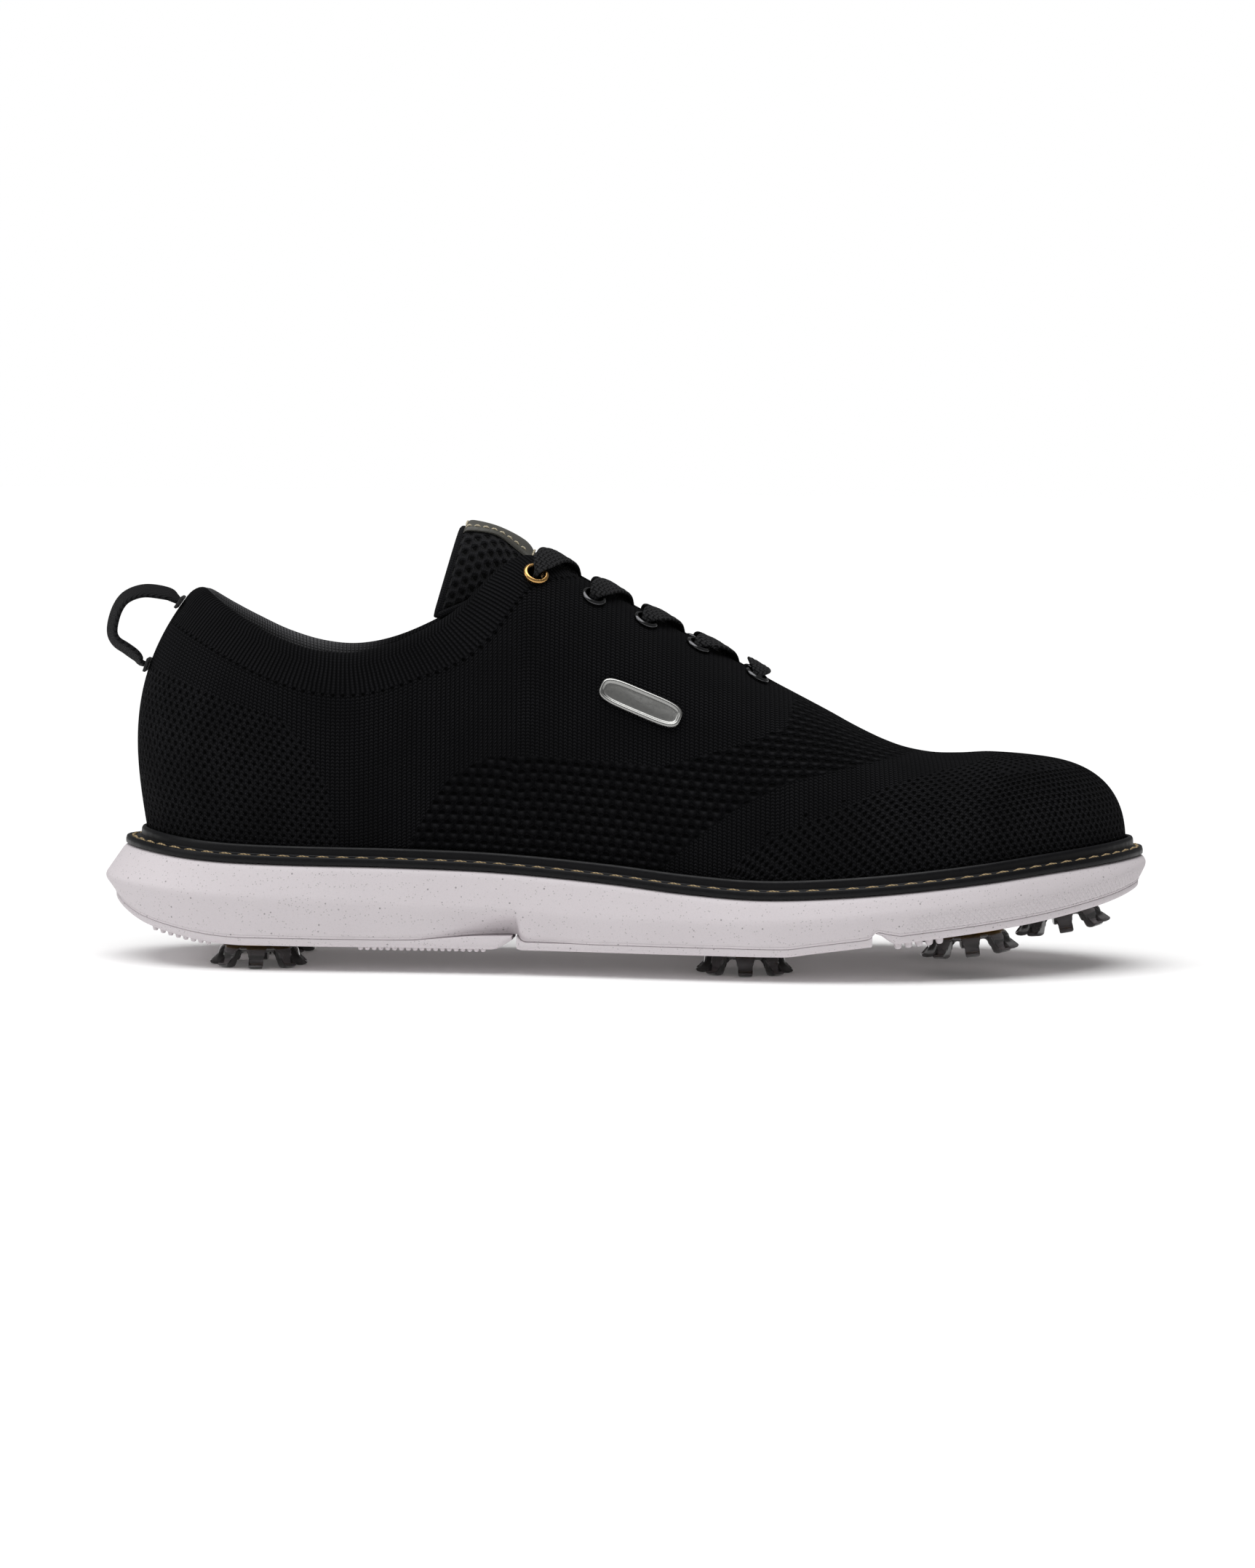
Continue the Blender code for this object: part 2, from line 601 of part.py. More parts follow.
def make_welt(finish):
    """The storm welt: a strip on the midsole with a bead standing against the upper."""
    profile = [  # share of the width from the wall to the edge, height over the midsole
        (0, 0.35, GAP), (1, 0, GAP), (1, 0, WELT_THICK), (0.62, 0, WELT_THICK + 0.3),
        (0, 2.0, WELT_THICK + 0.3), (0, 2.0, BEAD_HEIGHT - 0.7), (0, 1.5, BEAD_HEIGHT),
        (0, 1.0, BEAD_HEIGHT - 0.1),
    ]
    rings = []
    for side, q in ring_of_stations(UPPER_STATIONS):
        x = station_x(q)
        edge, out = edge_point(side, x)
        level, width = smooth(SOLE_TOP, x), smooth(WELT_EDGE, station_key(q))
        rings.append([
            Vector((*(edge + out * (share * width + plus)), level + high)) for share, plus, high in profile
        ])
    points, faces = loft(rings, closed_path=True)
    return mesh_object("storm_welt", points, faces, finish)


def make_welt_thread(finish):
    """The lockstitch that holds the welt, as one closed thread lying on it."""
    line = bpy.data.curves.new("welt_thread", "CURVE")
    line.dimensions = "3D"
    line.bevel_depth = 0.45 * MM
    line.bevel_resolution = 1
    line.materials.append(finish)
    ring = ring_of_stations(UPPER_STATIONS)
    spline = line.splines.new("POLY")
    spline.points.add(len(ring) - 1)
    spline.use_cyclic_u = True
    for point, (side, q) in zip(spline.points, ring):
        x = station_x(q)
        edge, out = edge_point(side, x)
        at = edge + out * (smooth(WELT_EDGE, station_key(q)) * 0.72)
        point.co = (at.x * MM, at.y * MM, (smooth(SOLE_TOP, x) + WELT_THICK + 1.1) * MM, 1)
    thread = bpy.data.objects.new("welt_thread", line)
    bpy.context.scene.collection.objects.link(thread)
    return thread


def inner_room(key):
    """How far inside the feather edge the footbed ends: past the lining at the rear."""
    return -smooth([(-138, 7.4), (-45, 7.4), (-25, 4.2), (145, 4.2)], key)


def make_strobel_board(finish):
    qs = stations((0, TOE_SHARE, 6), (TOE_SHARE, HEEL_SHARE, 12), (HEEL_SHARE, 1, 6))
    rings = [sole_ring(qs, inner_room, lambda x, _, h=h: smooth(SOLE_TOP, x) + h) for h in (GAP, 1.3)]
    return slab("strobel_board", rings, finish)


def make_footbed(finish):
    """The removable insole: a dished foam sheet that lies on the strobel board."""
    qs = stations((0, TOE_SHARE, 6), (TOE_SHARE, HEEL_SHARE, 14), (HEEL_SHARE, 1, 6))
    rings = [
        sole_ring(qs, lambda key: inner_room(key) - 0.3, lambda x, _: smooth(SOLE_TOP, x) + 1.6),
        sole_ring(qs, lambda key: inner_room(key) - 0.3, lambda x, _: smooth(SOLE_TOP, x) + 6.4),
        sole_ring(qs, lambda key: inner_room(key) - 2.6, lambda x, _: smooth(SOLE_TOP, x) + 6.6),
        sole_ring(qs, lambda key: inner_room(key) - 9, lambda x, _: smooth(SOLE_TOP, x) + 5.0),
    ]
    return slab("footbed", rings, finish)


def plate(name, x_range, half_width, z_low, z_high, finish, steps=6, extra=0.0):
    """A narrow plate along the shoe that follows two heights given as functions of x."""
    rings = []
    for k in range(steps + 1):
        x = x_range[0] + (x_range[1] - x_range[0]) * k / steps
        low, high = z_low(x), z_high(x)
        w = half_width + extra
        rings.append([Vector((x, -w, low)), Vector((x, w, low)), Vector((x, w, high)), Vector((x, -w, high))])
    points, faces = loft(rings)
    return mesh_object(name, points, faces, finish)


def make_shank(midsole, finish):
    """The stiffener under the arch, in a pocket in the top of the midsole."""
    first, last, half, deep = -88, -2, 9, 1.6
    made = plate("shank", (first, last), half, lambda x: smooth(SOLE_TOP, x) - deep,
                 lambda x: smooth(SOLE_TOP, x) - 0.1, finish)
    cutter = plate("shank_pocket", (first - GAP, last + GAP), half, lambda x: smooth(SOLE_TOP, x) - deep - GAP,
                   lambda x: smooth(SOLE_TOP, x) + 2, finish, extra=GAP)
    cut(midsole, cutter)
    return made


# ================================================================ cleats
def cleat_seat(x, y):
    """Where a cleat's axis meets the pad's face, and the axis, pointing up into the sole."""
    slope = (smooth(SOLE_BOTTOM, x + 4) - smooth(SOLE_BOTTOM, x - 4)) / 8
    slope = slope if slope > 0.03 else 0.0
    return Vector((x, y, smooth(SOLE_BOTTOM, x))), Vector((-slope, 0, 1)).normalized()


def seat_empty(name, x, y):
    at, axis = cleat_seat(x, y)
    made = bpy.data.objects.new(name, None)
    made.location = at * MM
    made.rotation_euler = Vector((0, 0, 1)).rotation_difference(axis).to_euler()
    bpy.context.scene.collection.objects.link(made)
    return made


def turned(profile, segments):
    """Rings of a turned profile of (radius, height) about the local Z axis."""
    return [[Vector((r * math.cos(a), r * math.sin(a), z)) for r, z in profile]
            for a in (2 * math.pi * k / segments for k in range(segments))]


def make_receptacle(name, seat, finish):
    profile = [
        (0, SOCKET_DEPTH), (SOCKET_RADIUS, SOCKET_DEPTH), (SOCKET_RADIUS, -FLANGE[0]),
        (FLANGE_RADIUS, -FLANGE[0]), (FLANGE_RADIUS, -FLANGE[1]), (BORE_RADIUS, -FLANGE[1]),
        (BORE_RADIUS, SOCKET_DEPTH - 1.2), (0, SOCKET_DEPTH - 1.2),
    ]
    points, faces = loft(turned(profile, 16), closed_path=True)
    return mesh_object(name, points, faces, finish, parent=seat)


def make_cleat(name, seat, finish):
    """A twist-in soft spike: a disc with a stud above it and a ring of flared legs below."""
    top, tip = -FLANGE[1] - GAP, -CLEAT_HEIGHT
    leg = [(9.6, top), (10.9, top - 0.9), (11.7, tip + 2.2), (14.0, tip + 1.1), (13.6, tip), (10.4, tip),
           (9.0, top - 2.0)]
    gap = [(9.6, top), (9.9, top - 0.2), (10.0, top - 0.6), (10.0, top - 0.9), (9.8, top - 1.2),
           (9.4, top - 1.5), (9.0, top - 1.7)]
    half_leg = math.radians(11)
    rings = []
    for k in range(CLEAT_LEGS):
        middle = 2 * math.pi * k / CLEAT_LEGS
        for turn, rim in ((-half_leg, leg), (half_leg, leg), (math.pi / CLEAT_LEGS, gap)):
            a = middle + turn
            profile = [(0, 3.4), (STUD_RADIUS, 3.4), (STUD_RADIUS, top), *rim, (0, top - 1.7)]
            rings.append([Vector((r * math.cos(a), r * math.sin(a), z)) for r, z in profile])
    points, faces = loft(rings, closed_path=True)
    return mesh_object(name, points, faces, finish, parent=seat)


def make_cleats(midsole, pads, finishes):
    for name, (x, y) in CLEATS.items():
        seat = seat_empty("seat_" + name, x, y)
        at, axis = cleat_seat(x, y)
        make_receptacle("receptacle_" + name, seat, finishes["receptacle"])
        make_cleat("cleat_" + name, seat, finishes["cleat"])
        pad = next(p for (first, last), p in pads.items() if first < x < last)
        for target in (midsole, pad):
            drill(target, f"socket_{name}_{target.name}", at - axis * 2, axis, SOCKET_RADIUS + GAP,
                  SOCKET_DEPTH + 2 + GAP, segments=16)


# ================================================================ tongue and eyelets
def tongue_rows(depth):
    """Rows of points across the tongue at a depth under its top face."""
    turns = [math.pi * (k / TONGUE_COLUMNS - 0.5) for k in range(TONGUE_COLUMNS + 1)]
    rows = []
    for x, half, sink, crown in TONGUE_LAID:
        rows.append([
            instep(x, half * math.sin(turn * 0.98),
                   TONGUE_TOP + sink * math.sin(turn) ** 2 - crown * math.cos(turn) ** 4 + depth)[0]
            for turn in turns
        ])
    for x, z, half, drop in TONGUE_FREE:
        row = []
        for turn in turns:
            at = Vector((x, half * math.sin(turn), z)) + TONGUE_LEAN * drop * (1 - math.cos(turn))
            inward = Vector((0, -math.sin(turn) * drop, 0)) + TONGUE_LEAN * math.cos(turn) * half
            row.append(at + inward.normalized() * depth)
        rows.append(row)
    return rows


def make_tongue(finish):
    rings = [top + list(reversed(under)) for top, under in zip(tongue_rows(0), tongue_rows(TONGUE_THICK))]
    points, faces = loft(rings)
    return mesh_object("tongue", points, faces, finish, angle=60, origin=TONGUE_HINGE)


def make_tongue_label(finish):
    """The leather patch on the face of the tongue's top."""
    layers = []
    for lift in (-GAP, -GAP - 0.9):
        rows = tongue_rows(lift)
        low = [a.lerp(b, 0.55) for a, b in zip(rows[-4], rows[-3])]
        high = [a.lerp(b, 0.85) for a, b in zip(rows[-2], rows[-1])]
        layers.append([row[3:8] for row in (low, rows[-3], rows[-2], high)])
    points, faces = loft([a + list(reversed(b)) for a, b in zip(*layers)])
    return mesh_object("tongue_label", points, faces, finish, angle=60, origin=TONGUE_HINGE)


def make_eyelet(name, x, y, finish):
    at, normal = instep(x, y)
    seat = bpy.data.objects.new("seat_" + name, None)
    seat.location = at * MM
    seat.rotation_euler = Vector((0, 0, 1)).rotation_difference(normal).to_euler()
    bpy.context.scene.collection.objects.link(seat)
    profile = [
        (EYELET_BORE, 1.2), (3.1, 1.35), (EYELET_FLANGE, 0.75), (EYELET_FLANGE - 0.3, 0.45),
        (EYELET_BARREL, 0.45), (EYELET_BARREL, 0.4 - KNIT), (EYELET_BORE, 0.4 - KNIT),
    ]
    points, faces = loft(turned(profile, 10), closed_path=True)
    return mesh_object(name, points, faces, finish, parent=seat)


# ================================================================ lace
class LaceStop:
    """One control point of the lace: where, which way its face looks, and its share of full width."""

    def __init__(self, at, face, share):
        self.at, self.face, self.share = at, face, share


def over_instep(x, y, lift, share, flip):
    at, normal = instep(x, y, depth=-lift)
    return LaceStop(at, normal * flip, share)


def bore_stops(x, y, inbound, outbound, flip):
    """Down through an eyelet: inbound and outbound are the plan directions above and below it."""
    _, normal = instep(x, y)
    turn = (Vector((*inbound, 0)).normalized() - Vector((*outbound, 0)).normalized()).normalized()
    face = (turn - normal * turn.dot(normal)).normalized() * flip
    return [LaceStop(instep(x, y, depth=-lift)[0], face, 0) for lift in (1.2, -0.2, -1.7)]


def crossing(near, far, over, flip):
    """One strand: from under one eyelet, up through the throat, to over the far one of the next row.
    At each crossing the strand that goes to the lateral side lies on top."""
    (xa, ya), (xb, yb) = near, far
    side = 1 if yb > 0 else -1
    run = xa - xb
    edge = smooth(FACING_EDGE, xa - 0.3 * run)
    lift = 1.9 if over else 0.0
    rows = [
        (xa - 0.05 * run, ya * 0.93, -3.0, 0.2),
        (xa - 0.10 * run, ya * 0.78, -3.15, 0.6),
        (xa - 0.17 * run, -side * (edge + 3.2), -3.15, 0.9),
        (xa - 0.30 * run, -side * edge * 0.7, -2.75, 1),
        (xa - 0.46 * run, -side * edge * 0.15, -0.9 + lift * 0.9, 1),
        (xa - 0.60 * run, yb * 0.28, 0.6 + lift * 0.8, 1),
        (xa - 0.76 * run, yb * 0.56, 2.0 + lift * 0.2, 1),
        (xa - 0.90 * run, yb * 0.80, 2.3, 0.8),
        (xa - 0.965 * run, yb * 0.93, 2.2, 0.3),
    ]
    return [over_instep(*row, flip) for row in rows]


def lace_half(start):
    """Half of the lace, from the middle of the bar at the toe end to the tucked-away tip."""
    side, flip = start, 1
    x, half = EYELETS[0]
    stops = [over_instep(x, side * share * half, lift, width, flip)
             for share, lift, width in ((0.3, 2.3, 1), (0.62, 2.4, 0.95), (0.85, 2.2, 0.4))]
    inbound = (0, side)
    for row in range(len(EYELETS)):
        x, half = EYELETS[row]
        if row < len(EYELETS) - 1:
            next_x, next_half = EYELETS[row + 1]
            outbound = (0.35 * (next_x - x), -side * half)
        else:
            outbound = (0.01, side)
        stops += bore_stops(x, side * half, inbound, outbound, flip)
        flip = -flip
        if row < len(EYELETS) - 1:
            stops += crossing((x, side * half), (next_x, -side * next_half), side == MEDIAL, flip)
            inbound = (0.3 * (next_x - x), -side * next_half)
            side = -side
    return stops + tucked_tail(side, flip)


def tucked_tail(side, flip):
    """From under the last eyelet down the inside of the quarter, then forward on the footbed."""
    x, half = EYELETS[-1]
    at, normal = instep(x, side * half, depth=3.2)
    stops = [LaceStop(at, quarter(side, x, 104)[1] * flip, 0.1)]
    for across, height, depth, share in ((x, 104.5, 4.4, 0.4), (x, 97, 4.0, 1), (x, 80, 3.7, 1),
                                         (x + 3, 62, 3.6, 1), (x + 10, 48, 4.4, 1)):
        at, normal = quarter(side, across, height, depth)
        stops.append(LaceStop(at, -normal * flip * -1, share))
    for across, lift in ((x + 22, 8.6), (x + 36, 8.0), (x + 50, 8.0), (x + 66, 8.2), (x + 80, 8.2)):
        edge, out = edge_point(side, across)
        inset = edge - out * (9.5 if lift > 8.3 else 12.5)
        at = Vector((inset.x, inset.y, smooth(SOLE_TOP, across) + lift))
        stops.append(LaceStop(at, Vector((0, 0, 1)) * flip * -1, 0.02 if across > x + 60 else 1))
    return stops


def lace_stops():
    lateral, medial = lace_half(LATERAL), lace_half(MEDIAL)
    middle = over_instep(EYELETS[0][0], 0, 2.3, 1, 1)
    return list(reversed(lateral)) + [middle] + medial


def make_lace(finish):
    """The lace, one flat woven cord that is bunched where it passes an eyelet."""
    stops = lace_stops()
    steps = 2
    line = path_through([stop.at for stop in stops], steps)
    rings = []
    for k, at in enumerate(line):
        a, b = stops[min(k // steps, len(stops) - 1)], stops[min(k // steps + 1, len(stops) - 1)]
        s = (k % steps) / steps
        along = (line[min(k + 1, len(line) - 1)] - line[max(k - 1, 0)]).normalized()
        face = a.face.lerp(b.face, s)
        face = (face - along * face.dot(along)).normalized()
        across = along.cross(face)
        share = a.share + (b.share - a.share) * s
        width = LACE_BUNCH[0] + (LACE_WIDTH - LACE_BUNCH[0]) * share
        thick = LACE_BUNCH[1] + (LACE_THICK - LACE_BUNCH[1]) * share
        shape = ((-0.5, 0), (-0.5 + 0.3 * thick / width, 0.5), (0.5 - 0.3 * thick / width, 0.5), (0.5, 0),
                 (0.5 - 0.3 * thick / width, -0.5), (-0.5 + 0.3 * thick / width, -0.5))
        rings.append([at + across * (u * width) + face * (v * thick) for u, v in shape])
    points, faces = loft(rings)
    return mesh_object("lace", points, faces, finish, angle=50)


def make_aglet(name, tip, before, finish):
    """The plastic sheath crimped round a lace end; the lace stops inside it."""
    axis = (tip - before).normalized()
    seat = bpy.data.objects.new("seat_" + name, None)
    seat.location = (tip + axis * (AGLET[2] * 0.2)) * MM
    seat.rotation_euler = Vector((0, 0, 1)).rotation_difference(-axis).to_euler()
    bpy.context.scene.collection.objects.link(seat)
    bore, radius, length = AGLET
    points, faces = loft(turned([(bore, 0), (radius, 0), (radius, length), (bore, length)], 10),
                         closed_path=True)
    return mesh_object(name, points, faces, finish, parent=seat)


# ================================================================ pull loop and emblem
def heel_back(height):
    """Point on the middle of the heel's back at a height, and the outward normal there."""
    rib = Rib(LATERAL, 1.0)
    return wall(LATERAL, 1.0, arc=arc_at_height(rib, height))


def make_anchor(name, at, normal, size, finish):
    """A bar-tacked tab that holds one end of the pull loop: a thin block standing off the knit."""
    along, across, thick = size
    side = Vector((0, 1, 0))
    up = side.cross(normal)
    rings = []
    for u in (-0.5, 0.5):
        rings.append([
            at + up * (u * along) + side * (v * across) + normal * (GAP + w * thick)
            for v, w in ((-0.5, 0), (0.5, 0), (0.5, 0.7), (0.42, 1), (-0.42, 1), (-0.5, 0.7))
        ])
    points, faces = loft(rings)
    return mesh_object(name, points, faces, finish)


def make_pull_loop(finish):
    """The webbing loop on the heel, turning about the line through its two sewn ends."""
    ends = [at + normal * LOOP_STAND for at, normal in map(heel_back, LOOP_TABS)]
    line = path_through([ends[0]] + [Vector((x, 0, z)) for x, z in LOOP_PATH] + [ends[1]], 2)
    rings = []
    for k, at in enumerate(line):
        along = (line[min(k + 1, len(line) - 1)] - line[max(k - 1, 0)]).normalized()
        face = Vector((0, 1, 0)).cross(along)
        near = min(k, len(line) - 1 - k) / 4
        half = LOOP_WIDTH / 2 * (0.2 + 0.8 * min(near, 1))
        thick = LOOP_THICK / 2
        rings.append([
            at + Vector((0, 1, 0)) * y + face * z
            for y, z in ((-half, -thick * 0.6), (-half + 0.6, -thick), (half - 0.6, -thick), (half, -thick * 0.6),
                         (half, thick * 0.6), (half - 0.6, thick), (-half + 0.6, thick), (-half, thick * 0.6))
        ])
    points, faces = loft(rings)
    low, high = line[-1], line[0]
    return mesh_object("pull_loop", points, faces, finish, angle=50, origin=(low + high) / 2)


def make_emblem(finish):
    """A plain bordered plate on the lateral quarter, curved to the knit behind it."""
    (cx, cz), length, height, tilt = EMBLEM
    tilt = math.radians(tilt)
    rings = []
    steps = 12
    for k in range(steps + 1):
        u = -math.cos(math.pi * k / steps)
        half = height / 2 * (1 - abs(u) ** 7) ** 0.5 if 0 < k < steps else height * 0.12
        ring = []
        for v, lift in ((-1, GAP), (0, GAP), (1, GAP), (1, 1.5), (0.8, 1.8), (0.72, 1.3), (0, 1.3),
                        (-0.72, 1.3), (-0.8, 1.8), (-1, 1.5)):
            along, over = u * length / 2, v * half
            x = cx + along * math.cos(tilt) - over * math.sin(tilt)
            z = cz + along * math.sin(tilt) + over * math.cos(tilt)
            ring.append(quarter(LATERAL, x, z, depth=-lift)[0])
        rings.append(ring)
    points, faces = loft(rings)
    return mesh_object("emblem", points, faces, finish)


# ================================================================ assembly
def make_finishes():
    return {
        "knit": material("black_knit", (0.012, 0.012, 0.013), 0.85),
        "rib": material("collar_rib", (0.014, 0.014, 0.015), 0.9),
        "foam": material("pad_foam", (0.05, 0.05, 0.055), 0.9),
        "lining": material("lining_textile", (0.02, 0.02, 0.022), 0.9),
        "stiffener": material("stiffener_sheet", (0.5, 0.45, 0.38), 0.7),
        "eva": material("pale_eva", (0.62, 0.58, 0.6), 0.55),
        "tpu": material("pale_tpu", (0.6, 0.56, 0.58), 0.4),
        "welt": material("black_welt", (0.025, 0.025, 0.03), 0.35),
        "thread": material("tan_thread", (0.45, 0.33, 0.16), 0.7),
        "board": material("strobel_board", (0.6, 0.58, 0.52), 0.8),
        "footbed": material("footbed_textile", (0.03, 0.03, 0.032), 0.85),
        "shank": material("glass_nylon", (0.08, 0.08, 0.08), 0.4),
        "receptacle": material("amber_receptacle", (0.45, 0.28, 0.08), 0.4),
        "cleat": material("smoke_tpu", (0.06, 0.065, 0.07), 0.25),
        "gold": material("gold_eyelet", (0.75, 0.45, 0.12), 0.3, 1.0),
        "steel": material("steel_eyelet", (0.55, 0.56, 0.58), 0.3, 1.0),
        "label": material("label_leather", (0.05, 0.055, 0.065), 0.4),
        "lace": material("black_lace", (0.02, 0.02, 0.021), 0.85),
        "aglet": material("aglet_plastic", (0.02, 0.02, 0.02), 0.3),
        "webbing": material("grey_webbing", (0.06, 0.06, 0.066), 0.8),
        "badge": material("badge_metal", (0.6, 0.6, 0.58), 0.3, 1.0),
    }


def main():
    for existing in list(bpy.data.objects):
        bpy.data.objects.remove(existing)
    finishes = make_finishes()

    make_upper(finishes["knit"])
    make_collar(finishes["rib"])
    shell("collar_foam", rear_ring(-52), [0.66, 0.8, 0.9, 0.995], *FOAM, finishes["foam"], closed=False)
    shell("lining", rear_ring(-52), [0.1, 0.3, 0.5, 0.7, 0.85, 0.999], *LINING, finishes["lining"],
          closed=False)
    shell("heel_counter", rear_ring(-88), [0.04, 0.2, 0.4, 0.62], *COUNTER, finishes["stiffener"],
          closed=False)
    toe = [q for q in UPPER_STATIONS if q <= TOE_SHARE + 0.001]
    shell("toe_puff", [(MEDIAL, q) for q in reversed(toe)] + [(LATERAL, q) for q in toe[1:]],
          [0.06, 0.25, 0.45, 0.65, 0.82], *PUFF, finishes["stiffener"], closed=False)

    midsole = make_midsole(finishes["eva"])
    pads = {
        (-200, ARCH_GAP[0]): make_pad("outsole_heel", -200, ARCH_GAP[0], finishes["tpu"]),
        (ARCH_GAP[1], FLEX_GAP[0]): make_pad("outsole_ball", ARCH_GAP[1], FLEX_GAP[0], finishes["tpu"]),
        (FLEX_GAP[1], 200): make_pad("outsole_toe", FLEX_GAP[1], 200, finishes["tpu"]),
    }
    make_shank(midsole, finishes["shank"])
    make_welt(finishes["welt"])
    make_welt_thread(finishes["thread"])
    make_strobel_board(finishes["board"])
    make_footbed(finishes["footbed"])
    make_cleats(midsole, pads, finishes)

    make_tongue(finishes["knit"])
    make_tongue_label(finishes["label"])
    for row, (x, half) in enumerate(EYELETS):
        for side, word in ((LATERAL, "lateral"), (MEDIAL, "medial")):
            finish = finishes["gold" if row == len(EYELETS) - 1 else "steel"]
            make_eyelet(f"eyelet_{word}_{row + 1}", x, side * half, finish)
    make_lace(finishes["lace"])
    stops = lace_stops()
    make_aglet("aglet_lateral", stops[0].at, stops[1].at, finishes["aglet"])
    make_aglet("aglet_medial", stops[-1].at, stops[-2].at, finishes["aglet"])

    for word, height in zip(("upper", "lower"), LOOP_TABS):
        make_anchor("loop_tab_" + word, *heel_back(height), (3.8, 11, 0.8), finishes["webbing"])
    make_pull_loop(finishes["webbing"])
    make_emblem(finishes["badge"])


main()
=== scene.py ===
"""Looks of the laced knit golf shoe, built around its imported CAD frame.

Lengths are millimetres until a mesh is made. The toe points along +X, the lateral side is -Y, up is +Z.
"""

import bisect
import math

import bmesh
import bpy
import numpy as np
from mathutils import Matrix, Vector


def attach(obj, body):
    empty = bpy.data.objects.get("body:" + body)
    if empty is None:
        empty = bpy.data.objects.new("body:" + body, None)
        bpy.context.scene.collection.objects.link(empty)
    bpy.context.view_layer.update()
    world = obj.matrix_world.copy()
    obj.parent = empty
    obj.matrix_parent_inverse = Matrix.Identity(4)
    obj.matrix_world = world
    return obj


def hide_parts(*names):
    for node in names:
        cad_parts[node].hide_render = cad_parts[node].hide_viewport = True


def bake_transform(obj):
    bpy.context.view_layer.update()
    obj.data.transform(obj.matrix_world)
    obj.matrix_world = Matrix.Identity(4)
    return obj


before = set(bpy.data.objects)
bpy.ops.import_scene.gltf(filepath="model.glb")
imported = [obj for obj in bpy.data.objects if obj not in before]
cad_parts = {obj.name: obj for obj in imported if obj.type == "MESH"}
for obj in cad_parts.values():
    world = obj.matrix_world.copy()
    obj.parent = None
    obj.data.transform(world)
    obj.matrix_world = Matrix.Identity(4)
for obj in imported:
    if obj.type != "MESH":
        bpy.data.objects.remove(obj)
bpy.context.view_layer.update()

MM = 0.001
GAP = 0.3
LATERAL, MEDIAL = -1, 1

# ---------------------------------------------------------------- the CAD part's own tables
LATERAL_EDGE = [
    (-138.2, 0), (-134, -13.5), (-124.5, -23.5), (-110, -29.5), (-90, -31.5), (-65, -32), (-40, -33.5),
    (-15, -37), (10, -41.5), (35, -45), (55, -46), (75, -44.5), (95, -39.5), (112, -31.5), (127, -21),
    (138.5, -8.5), (145, 6.5),
]
MEDIAL_EDGE = [
    (-138.2, 0), (-134, 13.5), (-124.5, 23.5), (-110, 29.5), (-90, 31), (-65, 29.5), (-40, 27.5),
    (-15, 28.5), (10, 33.5), (35, 39.5), (55, 43.5), (75, 46), (95, 44.5), (112, 39.5), (127, 31.5),
    (138.5, 21), (145, 6.5),
]
TOE_X, HEEL_X = 145.0, -138.2
TOE_FAN, HEEL_FAN = 105.0, -100.0
TOE_SHARE, HEEL_SHARE = 0.18, 0.835
TOE_POLE = 112.0
SOLE_TOP = [
    (-138, 33), (-120, 31), (-100, 30.3), (-65, 29.9), (-35, 29), (-4, 26.7), (16.5, 24.5), (37, 23.2),
    (57, 23.9), (78, 25.6), (98, 27.7), (120, 30.3), (149, 33),
]
SOLE_BOTTOM = [
    (-150, 18), (-144, 14), (-138, 11.4), (-127, 9), (-119, 7.8), (-111, 7.2), (-105, 7.2), (-50, 7.2),
    (25, 7.2), (42, 7.2), (46, 7.35), (52, 8.2), (68, 10.2), (88, 12.5), (109, 15), (120, 16.6),
    (131, 18.6), (142, 20.9), (150, 23.2),
]
CREASE = [
    (-138, 23.8), (-115, 21.5), (-90, 20.7), (-70, 19.7), (-30, 18), (0, 16.8), (40, 17), (70, 19.4),
    (108, 23.6), (135, 28), (145, 30.2),
]
RIDGE = [
    (-31, 121.6), (-10, 110.2), (0, 104.6), (10, 99.2), (21, 93.3), (32, 87.4), (42, 81.8), (47.8, 78.8),
    (58.4, 73.3), (63.7, 70.4), (69, 67.7), (74.3, 65.3), (79.6, 63.4), (85, 62.2), (90, 61.6),
    (97, 61.6), (105, 62), (112, 61.3),
]
RIDGE_SIDE = [(45, 0), (80, 1.0), (112, 3.0)]
THROAT_FRONT, THROAT_TOP = 46.0, -31.0
FACING_EDGE = [(-31, 13), (0, 9.5), (20, 7), (38, 4.5), (42, 3.2), (46, 0)]
TOPLINE = [
    (-138.2, -127.6, 0, 104.6), (-130, -125.2, 8.5, 103.6), (-120, -118.6, 17, 99.8),
    (-110, -109.6, 24.2, 94.9), (-100, -100, 28.6, 90.4), (-90, -90, 30.8, 87.2), (-80, -80, 31.2, 86.3),
    (-70, -70, 30.4, 88.2),
    (-60, -60, 28.2, 92.6), (-52, -52, 25.6, 97.9), (-46, -46.5, 23.2, 103.2), (-41, -42, 20.8, 108.8),
    (-36, -37, 17.5, 114.6),
]
SQUARENESS = [(-138, 2), (-60, 2.1), (-31, 3.0), (-8, 2.85), (6, 2.7), (21, 2.5), (40, 2.3), (70, 2.15),
              (105, 2.3), (145, 2.5)]
BULGE = {
    LATERAL: [(-138, 7.8), (-118, 6.6), (-100, 5.2), (-60, 3), (-31, 1.5), (40, 1.5), (90, 1.5), (145, 0.5)],
    MEDIAL: [(-138, 7.8), (-118, 6.6), (-100, 5.2), (-70, 5), (-31, 7), (0, 6.5), (40, 3), (90, 1.5),
             (145, 0.5)],
}
COLLAR_ARC = math.radians(38)
COLLAR_REACH = math.radians(50)
COLLAR_BLEND = 29       # length over which the throat's ribs turn into the collar's
BULGE_POWER = 1.2
FOOT_LIFT = GAP + 0.1   # the upper's lower edge over the sole's top
KNIT = 1.8
